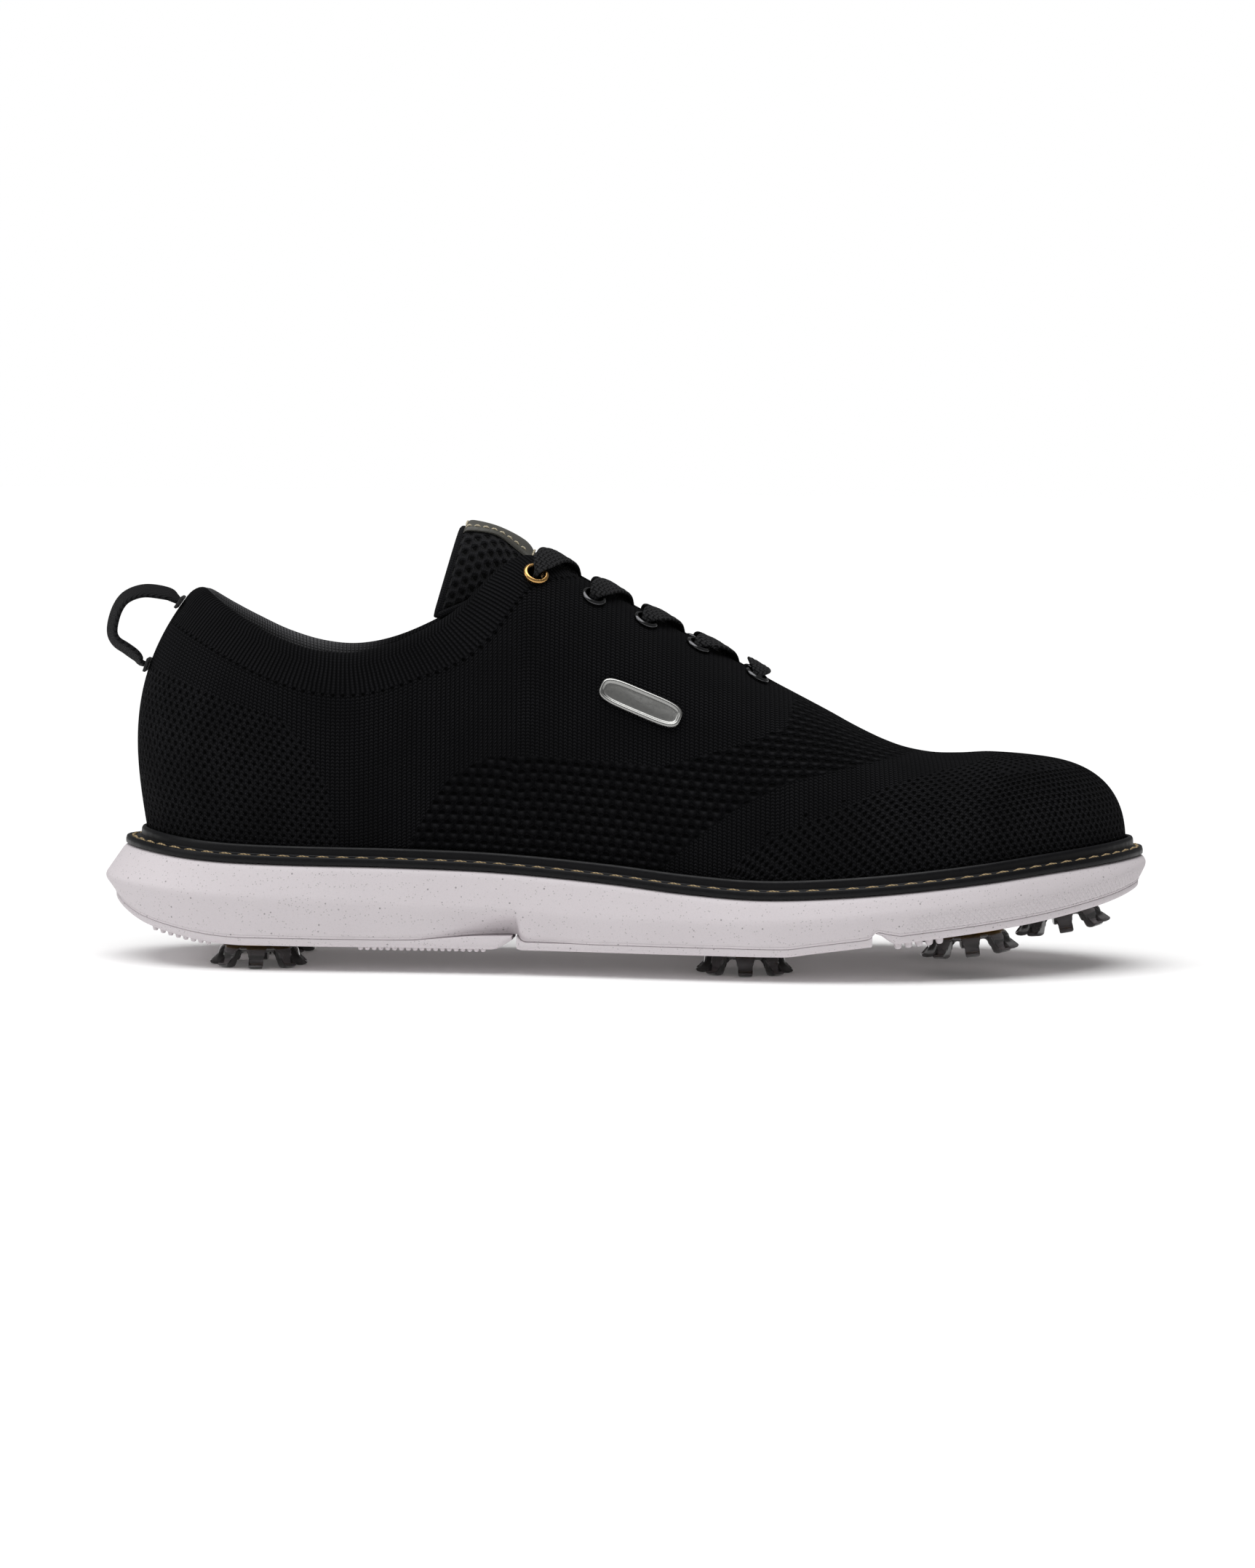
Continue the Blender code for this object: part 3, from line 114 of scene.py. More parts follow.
ROLL_WIDTH = [(-138, 6.8), (-60, 6.8), (-46, 5.2), (-31, 3.2), (-20, 1.9), (46, 1.8)]
ROLL_HEIGHT = [(-138, 5.2), (-60, 4.6), (-31, 2.6), (-20, 0.9), (38, 0.9), (46, 0)]
WELT_EDGE = [(-138, 6.6), (-120, 5.6), (-60, 5.2), (60, 5.0), (145, 4.9)]
MIDSOLE_BULGE = [
    (-138.2, 12.8), (-130, 12.2), (-118, 10.4), (-100, 8.4), (-40, 7.4), (60, 7.3), (120, 6.4), (145, 6),
]
SOLE_FOOT = [(-138.2, 9.5), (-120, 7), (-60, 6.3), (60, 6.0), (120, 4.6), (145, 3.8)]
PAD_THICK = 2.1
ARCH_GAP = (-31.5, -30.0)
FLEX_GAP = (68.5, 76.3)
NOTCH_DEPTH = 1.7
WELT_THICK, BEAD_HEIGHT = 2.3, 5.4
CLEAT_HEIGHT = 7.2
CLEATS = {
    "heel_lateral": (-105, -18), "heel_medial": (-105, 18),
    "ball_lateral": (34, -23.5), "ball_medial": (34.5, 22),
    "forefoot_lateral": (97.5, -24), "forefoot_medial": (95, 22), "toe": (126, 6),
}
CLEAT_LEGS = 8
SOCKET_RADIUS, SOCKET_DEPTH = 9.0, 5.8
BORE_RADIUS, STUD_RADIUS = 4.7, 4.3
FLANGE_RADIUS, FLANGE = 11.0, (0.3, 0.8)
EYELETS = [(36.5, 12.2), (19.5, 14.8), (4.5, 17.6), (-10.3, 19.9), (-26.7, 22)]
EYELET_FLANGE, EYELET_BARREL, EYELET_BORE = 3.7, 2.9, 2.45
LACE_WIDTH, LACE_THICK = 6.5, 1.2
LACE_BUNCH = (2.8, 1.3)
TONGUE_TOP, TONGUE_THICK = 4.3, 2.5
TONGUE_LAID = [
    (47, 9, 0, 0), (38, 13, 0, 0), (24, 16, 0, 0), (8, 17.5, 0, 0), (-10, 17.5, 0, 0), (-24, 16, 0.3, 0.6),
    (-30.5, 13.5, 1.2, 3.6),
]
TONGUE_FREE = [(-38.0, 124.4, 13.5, 17), (-45.5, 126.2, 15.0, 23.5), (-47.8, 125.2, 14.6, 23.5)]
TONGUE_LEAN = Vector((-0.27, 0, -0.963))
LOOP_TABS = (102.4, 84.4)
LOOP_STAND = 2.6
LOOP_PATH = [
    (-133.4, 105.1), (-138.6, 105.9), (-142.3, 105.4), (-145.6, 103.7), (-147.7, 100.8), (-149.0, 96.8),
    (-149.2, 93.4), (-147.9, 91.0), (-145.2, 89.2), (-142.2, 87.0),
]
LOOP_WIDTH, LOOP_THICK = 10.5, 1.6
EMBLEM = ((3.6, 77.2), 24.5, 7.2, -22.5)


# ================================================================ curves and the last, as in the CAD part
HALVINGS = 40


def clamp(value, low=0, high=1):
    return min(max(value, low), high)


def eased(share):
    """Smooth step of a share from 0 to 1."""
    return share * share * (3 - 2 * share)


def bisected(low, high, before):
    """The value between low and high up to which before(value) holds."""
    for _ in range(HALVINGS):
        middle = (low + high) / 2
        if before(middle):
            low = middle
        else:
            high = middle
    return (low + high) / 2


def smooth(rows, x, column=1):
    """Value at x of the smooth curve through rows sorted by their first entry, held past both ends."""
    if x <= rows[0][0]:
        return rows[0][column]
    if x >= rows[-1][0]:
        return rows[-1][column]
    k = bisect.bisect_right([row[0] for row in rows], x) - 1

    def slope(i):
        a, b = rows[max(i - 1, 0)], rows[min(i + 1, len(rows) - 1)]
        return (b[column] - a[column]) / (b[0] - a[0])

    span = rows[k + 1][0] - rows[k][0]
    s = (x - rows[k][0]) / span
    return (
        (2 * s**3 - 3 * s**2 + 1) * rows[k][column]
        + (s**3 - 2 * s**2 + s) * span * slope(k)
        + (3 * s**2 - 2 * s**3) * rows[k + 1][column]
        + (s**3 - s**2) * span * slope(k + 1)
    )


def path_through(points, steps, closed=False):
    """Catmull-Rom curve through the points, with the given steps between neighbours."""
    count = len(points)
    out = []
    for k in range(count if closed else count - 1):
        pick = [(k + o) % count if closed else clamp(k + o, 0, count - 1) for o in (-1, 0, 1, 2)]
        a, b, c, d = (points[i] for i in pick)
        for j in range(steps):
            s = j / steps
            out.append(0.5 * ((2 * b) + (c - a) * s + (2 * a - 5 * b + 4 * c - d) * s * s
                              + (3 * b - a - 3 * c + d) * s**3))
    if not closed:
        out.append(points[-1].copy())
    return out


def dense_half_outlines():
    """Fine (x, y) points of each half of the feather edge, heel to toe."""
    ring = [Vector(p) for p in LATERAL_EDGE] + [Vector(p) for p in reversed(MEDIAL_EDGE[1:-1])]
    steps = 40
    dense = path_through(ring, steps, closed=True)
    toe = (len(LATERAL_EDGE) - 1) * steps
    return {LATERAL: dense[: toe + 1], MEDIAL: [dense[0]] + dense[: toe - 1 : -1]}


OUTLINE = dense_half_outlines()
OUTLINE_X = {side: [max(p.x, HEEL_X) for p in OUTLINE[side]] for side in OUTLINE}


def edge_point(side, x):
    """Feather edge of that side at x, and its outward normal in plan."""
    xs, points = OUTLINE_X[side], OUTLINE[side]
    k = clamp(bisect.bisect_right(xs, x) - 1, 0, len(xs) - 2)
    a, b = points[k], points[k + 1]
    share = 0 if b.x == a.x else clamp((x - a.x) / (b.x - a.x))
    before, after = points[max(k - 3, 0)], points[min(k + 4, len(points) - 1)]
    along = after - before
    normal = Vector((side * -along.y, side * along.x)).normalized()
    if x >= TOE_X - 0.01:
        normal = Vector((1, 0))
    if x <= HEEL_X + 0.01:
        normal = Vector((-1, 0))
    return a.lerp(b, share), normal


def station_of(x):
    """Station q of a rib whose feather edge is at x, between the two fans."""
    return TOE_SHARE + (TOE_FAN - x) / (TOE_FAN - HEEL_FAN) * (HEEL_SHARE - TOE_SHARE)


def station_x(q):
    if q < TOE_SHARE:
        return TOE_FAN + (TOE_X - TOE_FAN) * math.cos(math.pi / 2 * q / TOE_SHARE)
    if q > HEEL_SHARE:
        turn = math.pi / 2 * (q - HEEL_SHARE) / (1 - HEEL_SHARE)
        return HEEL_FAN + (HEEL_X - HEEL_FAN) * math.sin(turn)
    return TOE_FAN - (q - TOE_SHARE) / (HEEL_SHARE - TOE_SHARE) * (TOE_FAN - HEEL_FAN)


def station_key(q):
    """Like station_x, but even along the two fans, so that a table can be read by it."""
    if q < TOE_SHARE:
        return TOE_FAN + (TOE_X - TOE_FAN) * (1 - q / TOE_SHARE)
    if q > HEEL_SHARE:
        return HEEL_FAN + (HEEL_X - HEEL_FAN) * (q - HEEL_SHARE) / (1 - HEEL_SHARE)
    return station_x(q)


def power(value, exponent):
    return math.copysign(abs(value) ** exponent, value)


class Rib:
    """One rib of the last: from the feather edge, up the wall, over to the ridge or the topline."""

    def __init__(self, side, q):
        if q < 0:
            side, q = -side, -q
        if q > 1:
            side, q = -side, 2 - q
        self.side = side
        self.key = station_key(q)
        x = station_x(q)
        edge, self.out = edge_point(side, x)
        self.foot = Vector((edge.x, edge.y, smooth(SOLE_TOP, x) + FOOT_LIFT))
        self.exponent = 2 / smooth(SQUARENESS, self.key)
        self.bulge = smooth(BULGE[side], self.key)
        into_collar = clamp((THROAT_TOP - self.key) / COLLAR_BLEND)
        self.reach = math.pi / 2 + (COLLAR_REACH - math.pi / 2) * into_collar
        if self.key >= THROAT_FRONT - 0.001:
            ridge_x = x if self.key <= TOE_FAN else TOE_FAN + (TOE_POLE - TOE_FAN) * (1 - q / TOE_SHARE)
            self.arc = math.pi / 2
            self.set_top(Vector((ridge_x, smooth(RIDGE_SIDE, ridge_x), smooth(RIDGE, ridge_x))))
        elif self.key >= THROAT_TOP - 0.001:
            self.arc = math.pi / 2
            self.set_top(Vector((x, 0, smooth(RIDGE, x))))
            self.arc = self.arc_at(smooth(FACING_EDGE, x))
        else:
            corner = Rib(side, station_of(THROAT_TOP))
            at = corner.point(corner.arc)
            rows = TOPLINE + [(THROAT_TOP, at.x, abs(at.y), at.z)]
            across, width, height = (smooth(rows, self.key, column) for column in (1, 2, 3))
            self.arc = corner.arc + (COLLAR_ARC - corner.arc) * into_collar
            self.set_top(Vector((across, side * width, height)))

    def set_top(self, top):
        outward = Vector((self.out.x, self.out.y, 0))
        self.top = top - outward * self.swell(self.arc)
        self.cos_top = power(math.cos(self.arc), self.exponent)
        self.sin_top = power(math.sin(self.arc), self.exponent)

    def swell(self, arc):
        return self.bulge * power(math.sin(math.pi * arc / self.reach), BULGE_POWER)

    def point(self, arc):
        across = (1 - power(math.cos(arc), self.exponent)) / (1 - self.cos_top)
        up = power(math.sin(arc), self.exponent) / self.sin_top
        span = self.top - self.foot
        at = self.foot + Vector((span.x * across, span.y * across, span.z * up))
        return at + Vector((self.out.x, self.out.y, 0)) * self.swell(arc)

    def points(self, arcs):
        """The same for an array of arcs."""
        across = (1 - np.abs(np.cos(arcs)) ** self.exponent) / (1 - self.cos_top)
        up = np.abs(np.sin(arcs)) ** self.exponent / self.sin_top
        swell = self.bulge * np.maximum(np.sin(math.pi * arcs / self.reach), 0) ** BULGE_POWER
        foot, span = np.array(self.foot), np.array(self.top - self.foot)
        at = foot + span * np.stack([across, across, up], 1)
        at[:, :2] += np.outer(swell, (self.out.x, self.out.y))
        return at

    def arc_at(self, half_width):
        """The arc at which the rib comes within half_width of the middle."""
        return bisected(math.radians(20), math.pi / 2, lambda arc: abs(self.point(arc).y) > half_width)


def arc_at_height(rib, height):
    """The arc at which the rib passes a height over the ground."""
    return bisected(0.0, rib.arc, lambda arc: rib.point(arc).z < height)


def quarter(side, x, height, depth=0.0):
    """Point under (or with a negative depth, over) the side wall at x and a height, and the normal."""
    q = station_of(x)
    return wall(side, q, arc_at_height(Rib(side, q), height), depth)


def wall(side, q, arc, depth=0.0):
    """Point at that depth under the outer face of the upper, and the face's outward normal."""
    rib = Rib(side, q)
    normal = face_normal(rib, side, q, arc)
    if arc > math.pi / 2 - 1e-6:
        normal = (normal + face_normal(Rib(-side, q), -side, q, arc)).normalized()
    return rib.point(arc) - normal * depth, normal


def face_normal(rib, side, q, arc):
    step_q, step_arc = 0.002, 0.004
    along = Rib(side, q + step_q).point(arc_like(side, q + step_q, rib, arc))
    back = Rib(side, q - step_q).point(arc_like(side, q - step_q, rib, arc))
    up = rib.point(arc + step_arc) - rib.point(arc - step_arc)
    return (up.cross(along - back) * -side).normalized()


def arc_like(side, q, rib, arc):
    """The arc on the rib at q that lies at the same share of its height as arc does on rib."""
    other = Rib(side, q)
    return arc * other.arc / rib.arc if rib.key < THROAT_TOP and other.key < THROAT_TOP else arc


def instep(x, y, depth=0.0):
    """Point under (or with a negative depth, over) the instep's face at x and y, and the normal."""
    side = LATERAL if y < 0 else MEDIAL
    q = station_of(x)
    return wall(side, q, Rib(side, q).arc_at(max(abs(y), 0.01)), depth)


# ================================================================ node fields
def plug(tree, value, socket):
    if isinstance(value, Field):
        tree.links.new(value.socket, socket)
    else:
        socket.default_value = value


class Field:
    """A number that varies over a surface, in a shader's node tree."""

    def __init__(self, tree, socket):
        self.tree, self.socket = tree, socket

    def do(self, operation, *others):
        node = self.tree.nodes.new("ShaderNodeMath")
        node.operation = operation
        for value, socket in zip((self, *others), node.inputs):
            plug(self.tree, value, socket)
        return Field(self.tree, node.outputs[0])

    def __add__(self, other):
        return self.do("ADD", other)

    def __sub__(self, other):
        return self.do("SUBTRACT", other)

    def __mul__(self, other):
        return self.do("MULTIPLY", other)

    def __truediv__(self, other):
        return self.do("DIVIDE", other)

    def flip(self):
        return (self * -1) + 1

    def saw(self):
        """Distance from the middle of each unit, from 0 to 0.5."""
        return (self.do("FRACT") - 0.5).do("ABSOLUTE")

    def cell(self, pitch):
        """Distance from the nearest multiple of pitch, signed."""
        return ((self / pitch + 0.5).do("FRACT") - 0.5) * pitch

    def step(self, low, high, to_low=0.0, to_high=1.0):
        """Smooth step from to_low at low to to_high at high."""
        node = self.tree.nodes.new("ShaderNodeMapRange")
        node.interpolation_type = "SMOOTHSTEP"
        for value, name in ((self, "Value"), (low, "From Min"), (high, "From Max"), (to_low, "To Min"),
                            (to_high, "To Max")):
            plug(self.tree, value, node.inputs[name])
        return Field(self.tree, node.outputs[0])


def length_of(a, b):
    return (a * a + b * b).do("SQRT")


class Finish:
    """A procedural material: its node tree, the fields that it reads, and its shader."""

    def __init__(self, name, colour, roughness, metallic=0.0, **sockets):
        self.material = bpy.data.materials.new(name)
        self.material.use_nodes = True
        self.tree = self.material.node_tree
        self.shader = self.tree.nodes["Principled BSDF"]
        self.colour_now = (*colour, 1)
        self.shader.inputs["Base Color"].default_value = self.colour_now
        self.shader.inputs["Roughness"].default_value = roughness
        self.shader.inputs["Metallic"].default_value = metallic
        for key, value in sockets.items():
            self.shader.inputs[key.replace("_", " ").title().replace("Ior", "IOR")].default_value = value
        self.material.diffuse_color = self.colour_now

    def out(self, kind, output, **inputs):
        node = self.tree.nodes.new(kind)
        for key, value in inputs.items():
            if key in node.inputs:
                plug(self.tree, value, node.inputs[key])
            else:
                setattr(node, key, value)
        return Field(self.tree, node.outputs[output])

    def parts(self, field):
        node = self.tree.nodes.new("ShaderNodeSeparateXYZ")
        self.tree.links.new(field.socket, node.inputs[0])
        return [Field(self.tree, output) for output in node.outputs]

    def uv(self, name):
        return self.parts(self.out("ShaderNodeUVMap", 0, uv_map=name))[:2]

    def value(self, name):
        return self.out("ShaderNodeAttribute", "Fac", attribute_name=name)

    def vector(self, name):
        return self.parts(self.out("ShaderNodeAttribute", "Vector", attribute_name=name))

    def place(self):
        return self.out("ShaderNodeTexCoord", "Object")

    def noise(self, scale, detail):
        """Smooth noise with features of about 1/scale metres, around 0.5."""
        return self.out("ShaderNodeTexNoise", "Fac", Vector=self.place(), Scale=scale, Detail=detail)

    def cells(self, scale, output="Distance"):
        return self.out("ShaderNodeTexVoronoi", output, Vector=self.place(), Scale=scale)

    def tint(self, field, colour):
        """Mixes the base colour towards another by a field."""
        node = self.tree.nodes.new("ShaderNodeMix")
        node.data_type = "RGBA"
        plug(self.tree, field, node.inputs["Factor"])
        a, b = (s for s in node.inputs if s.type == "RGBA")
        plug(self.tree, self.colour_now, a)
        b.default_value = (*colour, 1)
        self.colour_now = Field(self.tree, next(s for s in node.outputs if s.type == "RGBA"))
        plug(self.tree, self.colour_now, self.shader.inputs["Base Color"])

    def rough(self, field):
        plug(self.tree, field, self.shader.inputs["Roughness"])

    def bump(self, height):
        """Relief from a height in millimetres."""
        node = self.tree.nodes.new("ShaderNodeBump")
        node.inputs["Strength"].default_value = 1.0
        node.inputs["Distance"].default_value = MM
        plug(self.tree, height, node.inputs["Height"])
        self.tree.links.new(node.outputs[0], self.shader.inputs["Normal"])


# ================================================================ mesh helpers
def build(name, points, faces, finish, uvs=None, values=None, angle=None, merge=True):
    """A mesh object from points in millimetres, uvs by face corner and values by point."""
    mesh = bpy.data.meshes.new(name)
    mesh.from_pydata((np.asarray(points, float) * MM).tolist(), [], faces)
    for key, flat in (uvs or {}).items():
        layer = mesh.uv_layers.new(name=key)
        layer.data.foreach_set("uv", np.asarray(flat, np.float32).ravel())
    for key, flat in (values or {}).items():
        flat = np.asarray(flat, np.float32)
        if flat.ndim == 1:
            mesh.attributes.new(key, "FLOAT", "POINT").data.foreach_set("value", flat)
        else:
            mesh.attributes.new(key, "FLOAT_VECTOR", "POINT").data.foreach_set("vector", flat.ravel())
    work = bmesh.new()
    work.from_mesh(mesh)
    if merge:
        bmesh.ops.remove_doubles(work, verts=work.verts, dist=2e-6)
        bmesh.ops.dissolve_degenerate(work, edges=work.edges, dist=1e-7)
    bmesh.ops.recalc_face_normals(work, faces=work.faces)
    work.to_mesh(mesh)
    work.free()
    mesh.shade_smooth()
    if angle:
        mesh.set_sharp_from_angle(angle=math.radians(angle))
    mesh.materials.append(finish.material)
    made = bpy.data.objects.new(name, mesh)
    bpy.context.scene.collection.objects.link(made)
    return made


def piece(made, body, slot, *nodes, padded=None):
    """Puts a piece on the body that it rides on and hides the CAD nodes that it stands for. Its material slot
    is not used.
    """
    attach(made, body)
    if nodes:
        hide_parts(*nodes)


def net(rows, columns, closed_rows=False, closed_columns=False):
    """Quads of a grid of points laid out row after row; a row holds `columns` points."""
    faces = []
    for r in range(rows if closed_rows else rows - 1):
        a, b = r * columns, (r + 1) % rows * columns
        for k in range(columns if closed_columns else columns - 1):
            n = (k + 1) % columns
            faces.append((a + k, a + n, b + n, b + k))
    return faces


def tube(rings, closed_path=False, caps=True):
    """Points and faces of a skin over rings of equally many points."""
    size, count = len(rings[0]), len(rings)
    faces = net(count, size, closed_rows=closed_path, closed_columns=True)
    if caps and not closed_path:
        faces += [tuple(range(size - 1, -1, -1)), tuple(range((count - 1) * size, count * size))]
    return np.array([tuple(p) for ring in rings for p in ring]), faces


def grid_uv(faces, coordinates):
    """Coordinates by point turned into coordinates by face corner."""
    return np.asarray(coordinates)[[i for face in faces for i in face]]


def lengths(points):
    """Distance of each point of a polyline from its start."""
    return np.concatenate([[0], np.cumsum(np.linalg.norm(np.diff(points, axis=0), axis=1))])


def read_along(at, along, rows):
    """Rows read at the given distances, between the rows that lie at the distances along."""
    return np.stack([np.interp(at, along, rows[:, c]) for c in range(rows.shape[1])], 1)


def resample(rows, step):
    """Rows at even distances, and those distances. The first three columns are a place, the rest go along."""
    rows = np.array([tuple(row) for row in rows], float)
    along = lengths(rows[:, :3])
    at = np.linspace(0, along[-1], max(int(round(along[-1] / step)), 2) + 1)
    return read_along(at, along, rows), at


def oval(sides, across=1.0, over=1.0):
    """Corners of a unit circle, squared off by exponents below 1."""
    turns = (2 * math.pi * k / sides for k in range(sides))
    return [(power(math.cos(a), across), power(math.sin(a), over)) for a in turns]


def facing(path, k, face, reach=1):
    """At point k of a path: the given direction made square to the path, and the direction across both."""
    run = Vector(path[min(k + reach, len(path) - 1)] - path[max(k - reach, 0)]).normalized()
    face = Vector(face)
    face = (face - run * run.dot(face)).normalized()
    return face, run.cross(face)


def tubed(name, rings, finish, maps=None, closed_path=False, **extra):
    """A tube over rings, with its weave's UV map by point if given."""
    points, faces = tube(rings, closed_path)
    uvs = None if maps is None else {"weave": grid_uv(faces, maps)}
    return build(name, points, faces, finish, uvs, **extra)


def edge_distance(points, polygon):
    """Signed distance in the plane from each point to a closed polygon, positive inside."""
    best = np.full(len(points), 1e9)
    inside = np.zeros(len(points), bool)
    for a, b in zip(polygon, polygon[1:] + polygon[:1]):
        a, b = np.array(a, float), np.array(b, float)
        along = b - a
        t = np.clip(((points - a) @ along) / (along @ along), 0, 1)
        best = np.minimum(best, np.linalg.norm(points - a - t[:, None] * along, axis=1))
        crosses = (a[1] > points[:, 1]) != (b[1] > points[:, 1])
        rise = b[1] - a[1] if b[1] != a[1] else 1e-9
        inside ^= crosses & (points[:, 0] < a[0] + (points[:, 1] - a[1]) * along[0] / rise)
    return np.where(inside, best, -best)


def unit(vectors):
    return vectors / np.maximum(np.linalg.norm(vectors, axis=-1, keepdims=True), 1e-9)


def stations(*stretches):
    """Station values from (first, last, steps) stretches, each given as q."""
    out = []
    for first, last, steps in stretches:
        out += [first + (last - first) * k / steps for k in range(steps)]
    return out + [stretches[-1][1]]


# ================================================================ knit materials
KNIT_PITCH = 1.35
HEEL_HOLES = (2.4, 1.75)  # here and below: pitch along a row, and between rows
TOE_HOLES = (2.6, 1.8)
MESH_SCALES = (3.5, 2.7)
COLLAR_PITCH, RIB_STITCH, COLLAR_BAND, PICOT_PITCH = 1.15, 0.85, 8.2, 2.3
BAND_HOLES, BAND_MIDDLE = 10.6, 3.9
TONGUE_MESH = (3.3, 2.4)


def fine_knit(u, v, pitch=KNIT_PITCH):
    """Height of small V-shaped loops in staggered columns, from 0 to 1."""
    column = (u / pitch + 0.5).saw()
    loop = (v / (pitch * 0.72) + column * 1.1).saw().step(0.5, 0.1)
    return loop * column.step(0.5, 0.3)


def staggered(u, v, pitch, rows):
    """Distances across and up from the middle of a cell, in rows each shifted by half a pitch."""
    shift = ((v / rows).do("FLOOR") * 0.5).do("FRACT")
    return ((u / pitch + shift).do("FRACT") - 0.5) * pitch, ((v / rows).do("FRACT") - 0.5) * rows


def from_holes(u, v, pitch, rows, squeeze):
    """Distance from staggered holes; where columns are squeezed together, every other one is left out."""
    spread = squeeze.step(0.66, 0.6, 1, 2).do("ROUND") * squeeze.step(0.33, 0.3, 1, 2).do("ROUND")
    across, up = staggered(u, v, spread * pitch, rows)
    return length_of(across * squeeze, up)


def knit_finish():
    """The engineered knit: fine knit, perforated heel and toe, scaled mesh, ribbed collar."""
    made = Finish("engineered_knit", (0.0016, 0.0016, 0.0019), 0.92, specular_ior_level=0.03,
                  sheen_weight=0.012, sheen_roughness=0.5)
    made.shader.inputs["Sheen Tint"].default_value = (0.75, 0.75, 0.8, 1)
    ku, kv = made.uv("knit")
    cu, cv = made.uv("cell")
    tu, tv = made.uv("toe")
    ru, rv = made.uv("rib")
    heel, mesh, toe = made.vector("zones")
    squeeze = made.value("squeeze")
    fine = fine_knit(ku, kv)

    # round holes at the heel and the toe, with the yarn bulging between them
    round_holes, puffs = [], []
    for zone, u, v, sizes, hole_edge, puff_edge in (
        (heel, cu, cv, HEEL_HOLES, (0.60, 0.34), (0.55, 1.1)),
        (toe, tu, tv, TOE_HOLES, (0.7, 0.38), (0.55, 1.15)),
    ):
        gap, inside = from_holes(u, v, *sizes, squeeze), zone.step(-0.2, 0.3)
        round_holes.append(gap.step(*hole_edge) * inside)
        puffs.append(gap.step(*puff_edge) * inside)
    puff = puffs[0] + puffs[1]

    # scales of the coarse mesh: a dome with a dark crescent over it
    across, up = staggered(cu, cv, *MESH_SCALES)
    mesh_in = mesh.step(-0.3, 0.5)
    low = length_of(across * 0.8, up + 0.35)
    dome = low.step(1.35, 0.2) * mesh_in
    crescent = length_of(across * 0.62, up - 0.80 + across * across * 0.26).step(0.78, 0.42) * mesh_in

    # sparse holes along the plain band between the mesh and the toe
    band_hole = length_of(tu.cell(BAND_HOLES) * 0.8, tv - BAND_MIDDLE).step(0.62, 0.32)
    band_hole = band_hole * mesh.step(-0.5, -1.0) * toe.step(-1.0, -1.6)

    # ribs of the collar, and the row of picots that ends them
    rib_in = rv.step(COLLAR_BAND + 0.3, COLLAR_BAND - 0.3)
    rib = (ru / COLLAR_PITCH + 0.5).saw().step(0.48, 0.12)
    cross = (rv / RIB_STITCH + 0.5).saw().step(0.5, 0.15)
    ribs = (rib * 0.75 + cross * 0.25 * rib) * rib_in
    from_picot = rv - COLLAR_BAND - 0.4
    picot = length_of(ru.cell(PICOT_PITCH), from_picot).step(0.62, 0.3)
    picot_line = from_picot.do("ABSOLUTE").step(0.9, 0.2)

    open_knit = (rib_in + mesh_in * 0.75).do("MINIMUM", 1.0).flip()
    hole = (round_holes[0] + round_holes[1] + crescent + band_hole + picot).do("MINIMUM", 1.0)
    height = (
        fine * open_knit * 0.36 + puff * 0.5 + dome * 1.5 + ribs * 0.6
        + picot_line * 0.2 - hole * 1.2 + made.noise(900, 3) * 0.08
    )
    # painted highlight: the raised fine knit, collar ribs, mesh domes and puffed yarn round the holes are
    # coloured lighter, as where light catches their tops
    lift = fine * open_knit * 0.95 + ribs * 0.8 + dome + puff * 0.45
    fluff = made.noise(3500, 1).step(0.70, 0.80)
    made.tint((lift * 0.9).do("MINIMUM", 1.0), (0.0125, 0.0125, 0.0138))
    made.tint(made.noise(60, 3).step(0.35, 0.7) * 0.35, (0.0024, 0.0024, 0.0027))
    made.tint(fluff * 0.22, (0.05, 0.05, 0.055))
    made.tint(hole, (0.0002, 0.0002, 0.0003))
    made.tint(rv.step(-6.0, -6.8) * ru.step(80, 45) * 0.9, (0.11, 0.11, 0.115))
    made.bump(height)
    return made


def cloth_finish(name, colour, yarn_highlight, pitch, depth, roughness=0.9, specular=0.04, weave="knit"):
    """A plain textile by its UV map in millimetres: a fine knit, or a basket or twill weave."""
    made = Finish(name, colour, roughness, specular_ior_level=specular, sheen_weight=0.02,
                  sheen_roughness=0.5)
    u, v = made.uv("weave")
    if weave == "knit":
        height = fine_knit(u, v, pitch)
    elif weave == "twill":
        rib, yarn = ((u + v * 0.55) / pitch).saw(), (v / (pitch * 0.5)).saw()
        height = rib.step(0.5, 0.12) * (yarn.step(0.5, 0.0) * 0.35 + 0.65)
    else:
        turn = ((u / pitch).do("FLOOR") + (v / pitch).do("FLOOR")).do("MODULO", 2.0)
        over, under = ((field / pitch).saw().step(0.5, 0.1) for field in (u, v))
        height = over * turn + under * turn.flip()
    # painted highlight: the raised yarn of the knit or weave is coloured lighter
    made.tint(height * 0.7, yarn_highlight)
    made.tint(made.noise(80, 3).step(0.3, 0.75) * 0.3, tuple(c * 0.6 for c in colour))
    made.bump(height * depth + made.noise(1200, 2) * depth * 0.4)
    return made


def coarse_mesh_finish():
    """The open knit of the tongue: thick yarn round dark openings."""
    made = Finish("tongue_mesh", (0.005, 0.005, 0.0056), 0.9, specular_ior_level=0.06, sheen_weight=0.04,
                  sheen_roughness=0.5)
    u, v = made.uv("weave")
    across, up = staggered(u, v, *TONGUE_MESH)
    hole = length_of(across, up * 1.05 + across.do("ABSOLUTE") * 0.35).step(1.0, 0.55)
    puff = length_of(across, up).step(0.8, 1.7)
    fine = fine_knit(u, v, 0.9)
    # painted highlight: the puffed yarn round the openings and the fine loops are coloured lighter
    made.tint(puff * 0.6 + fine * 0.3, (0.018, 0.018, 0.020))
    made.tint(hole, (0.0006, 0.0006, 0.0007))
    made.bump(puff * 0.55 + fine * 0.12 - hole * 0.9 + made.noise(900, 2) * 0.06)
    return made


# ================================================================ other materials
DIAMOND_PITCH = 1.7


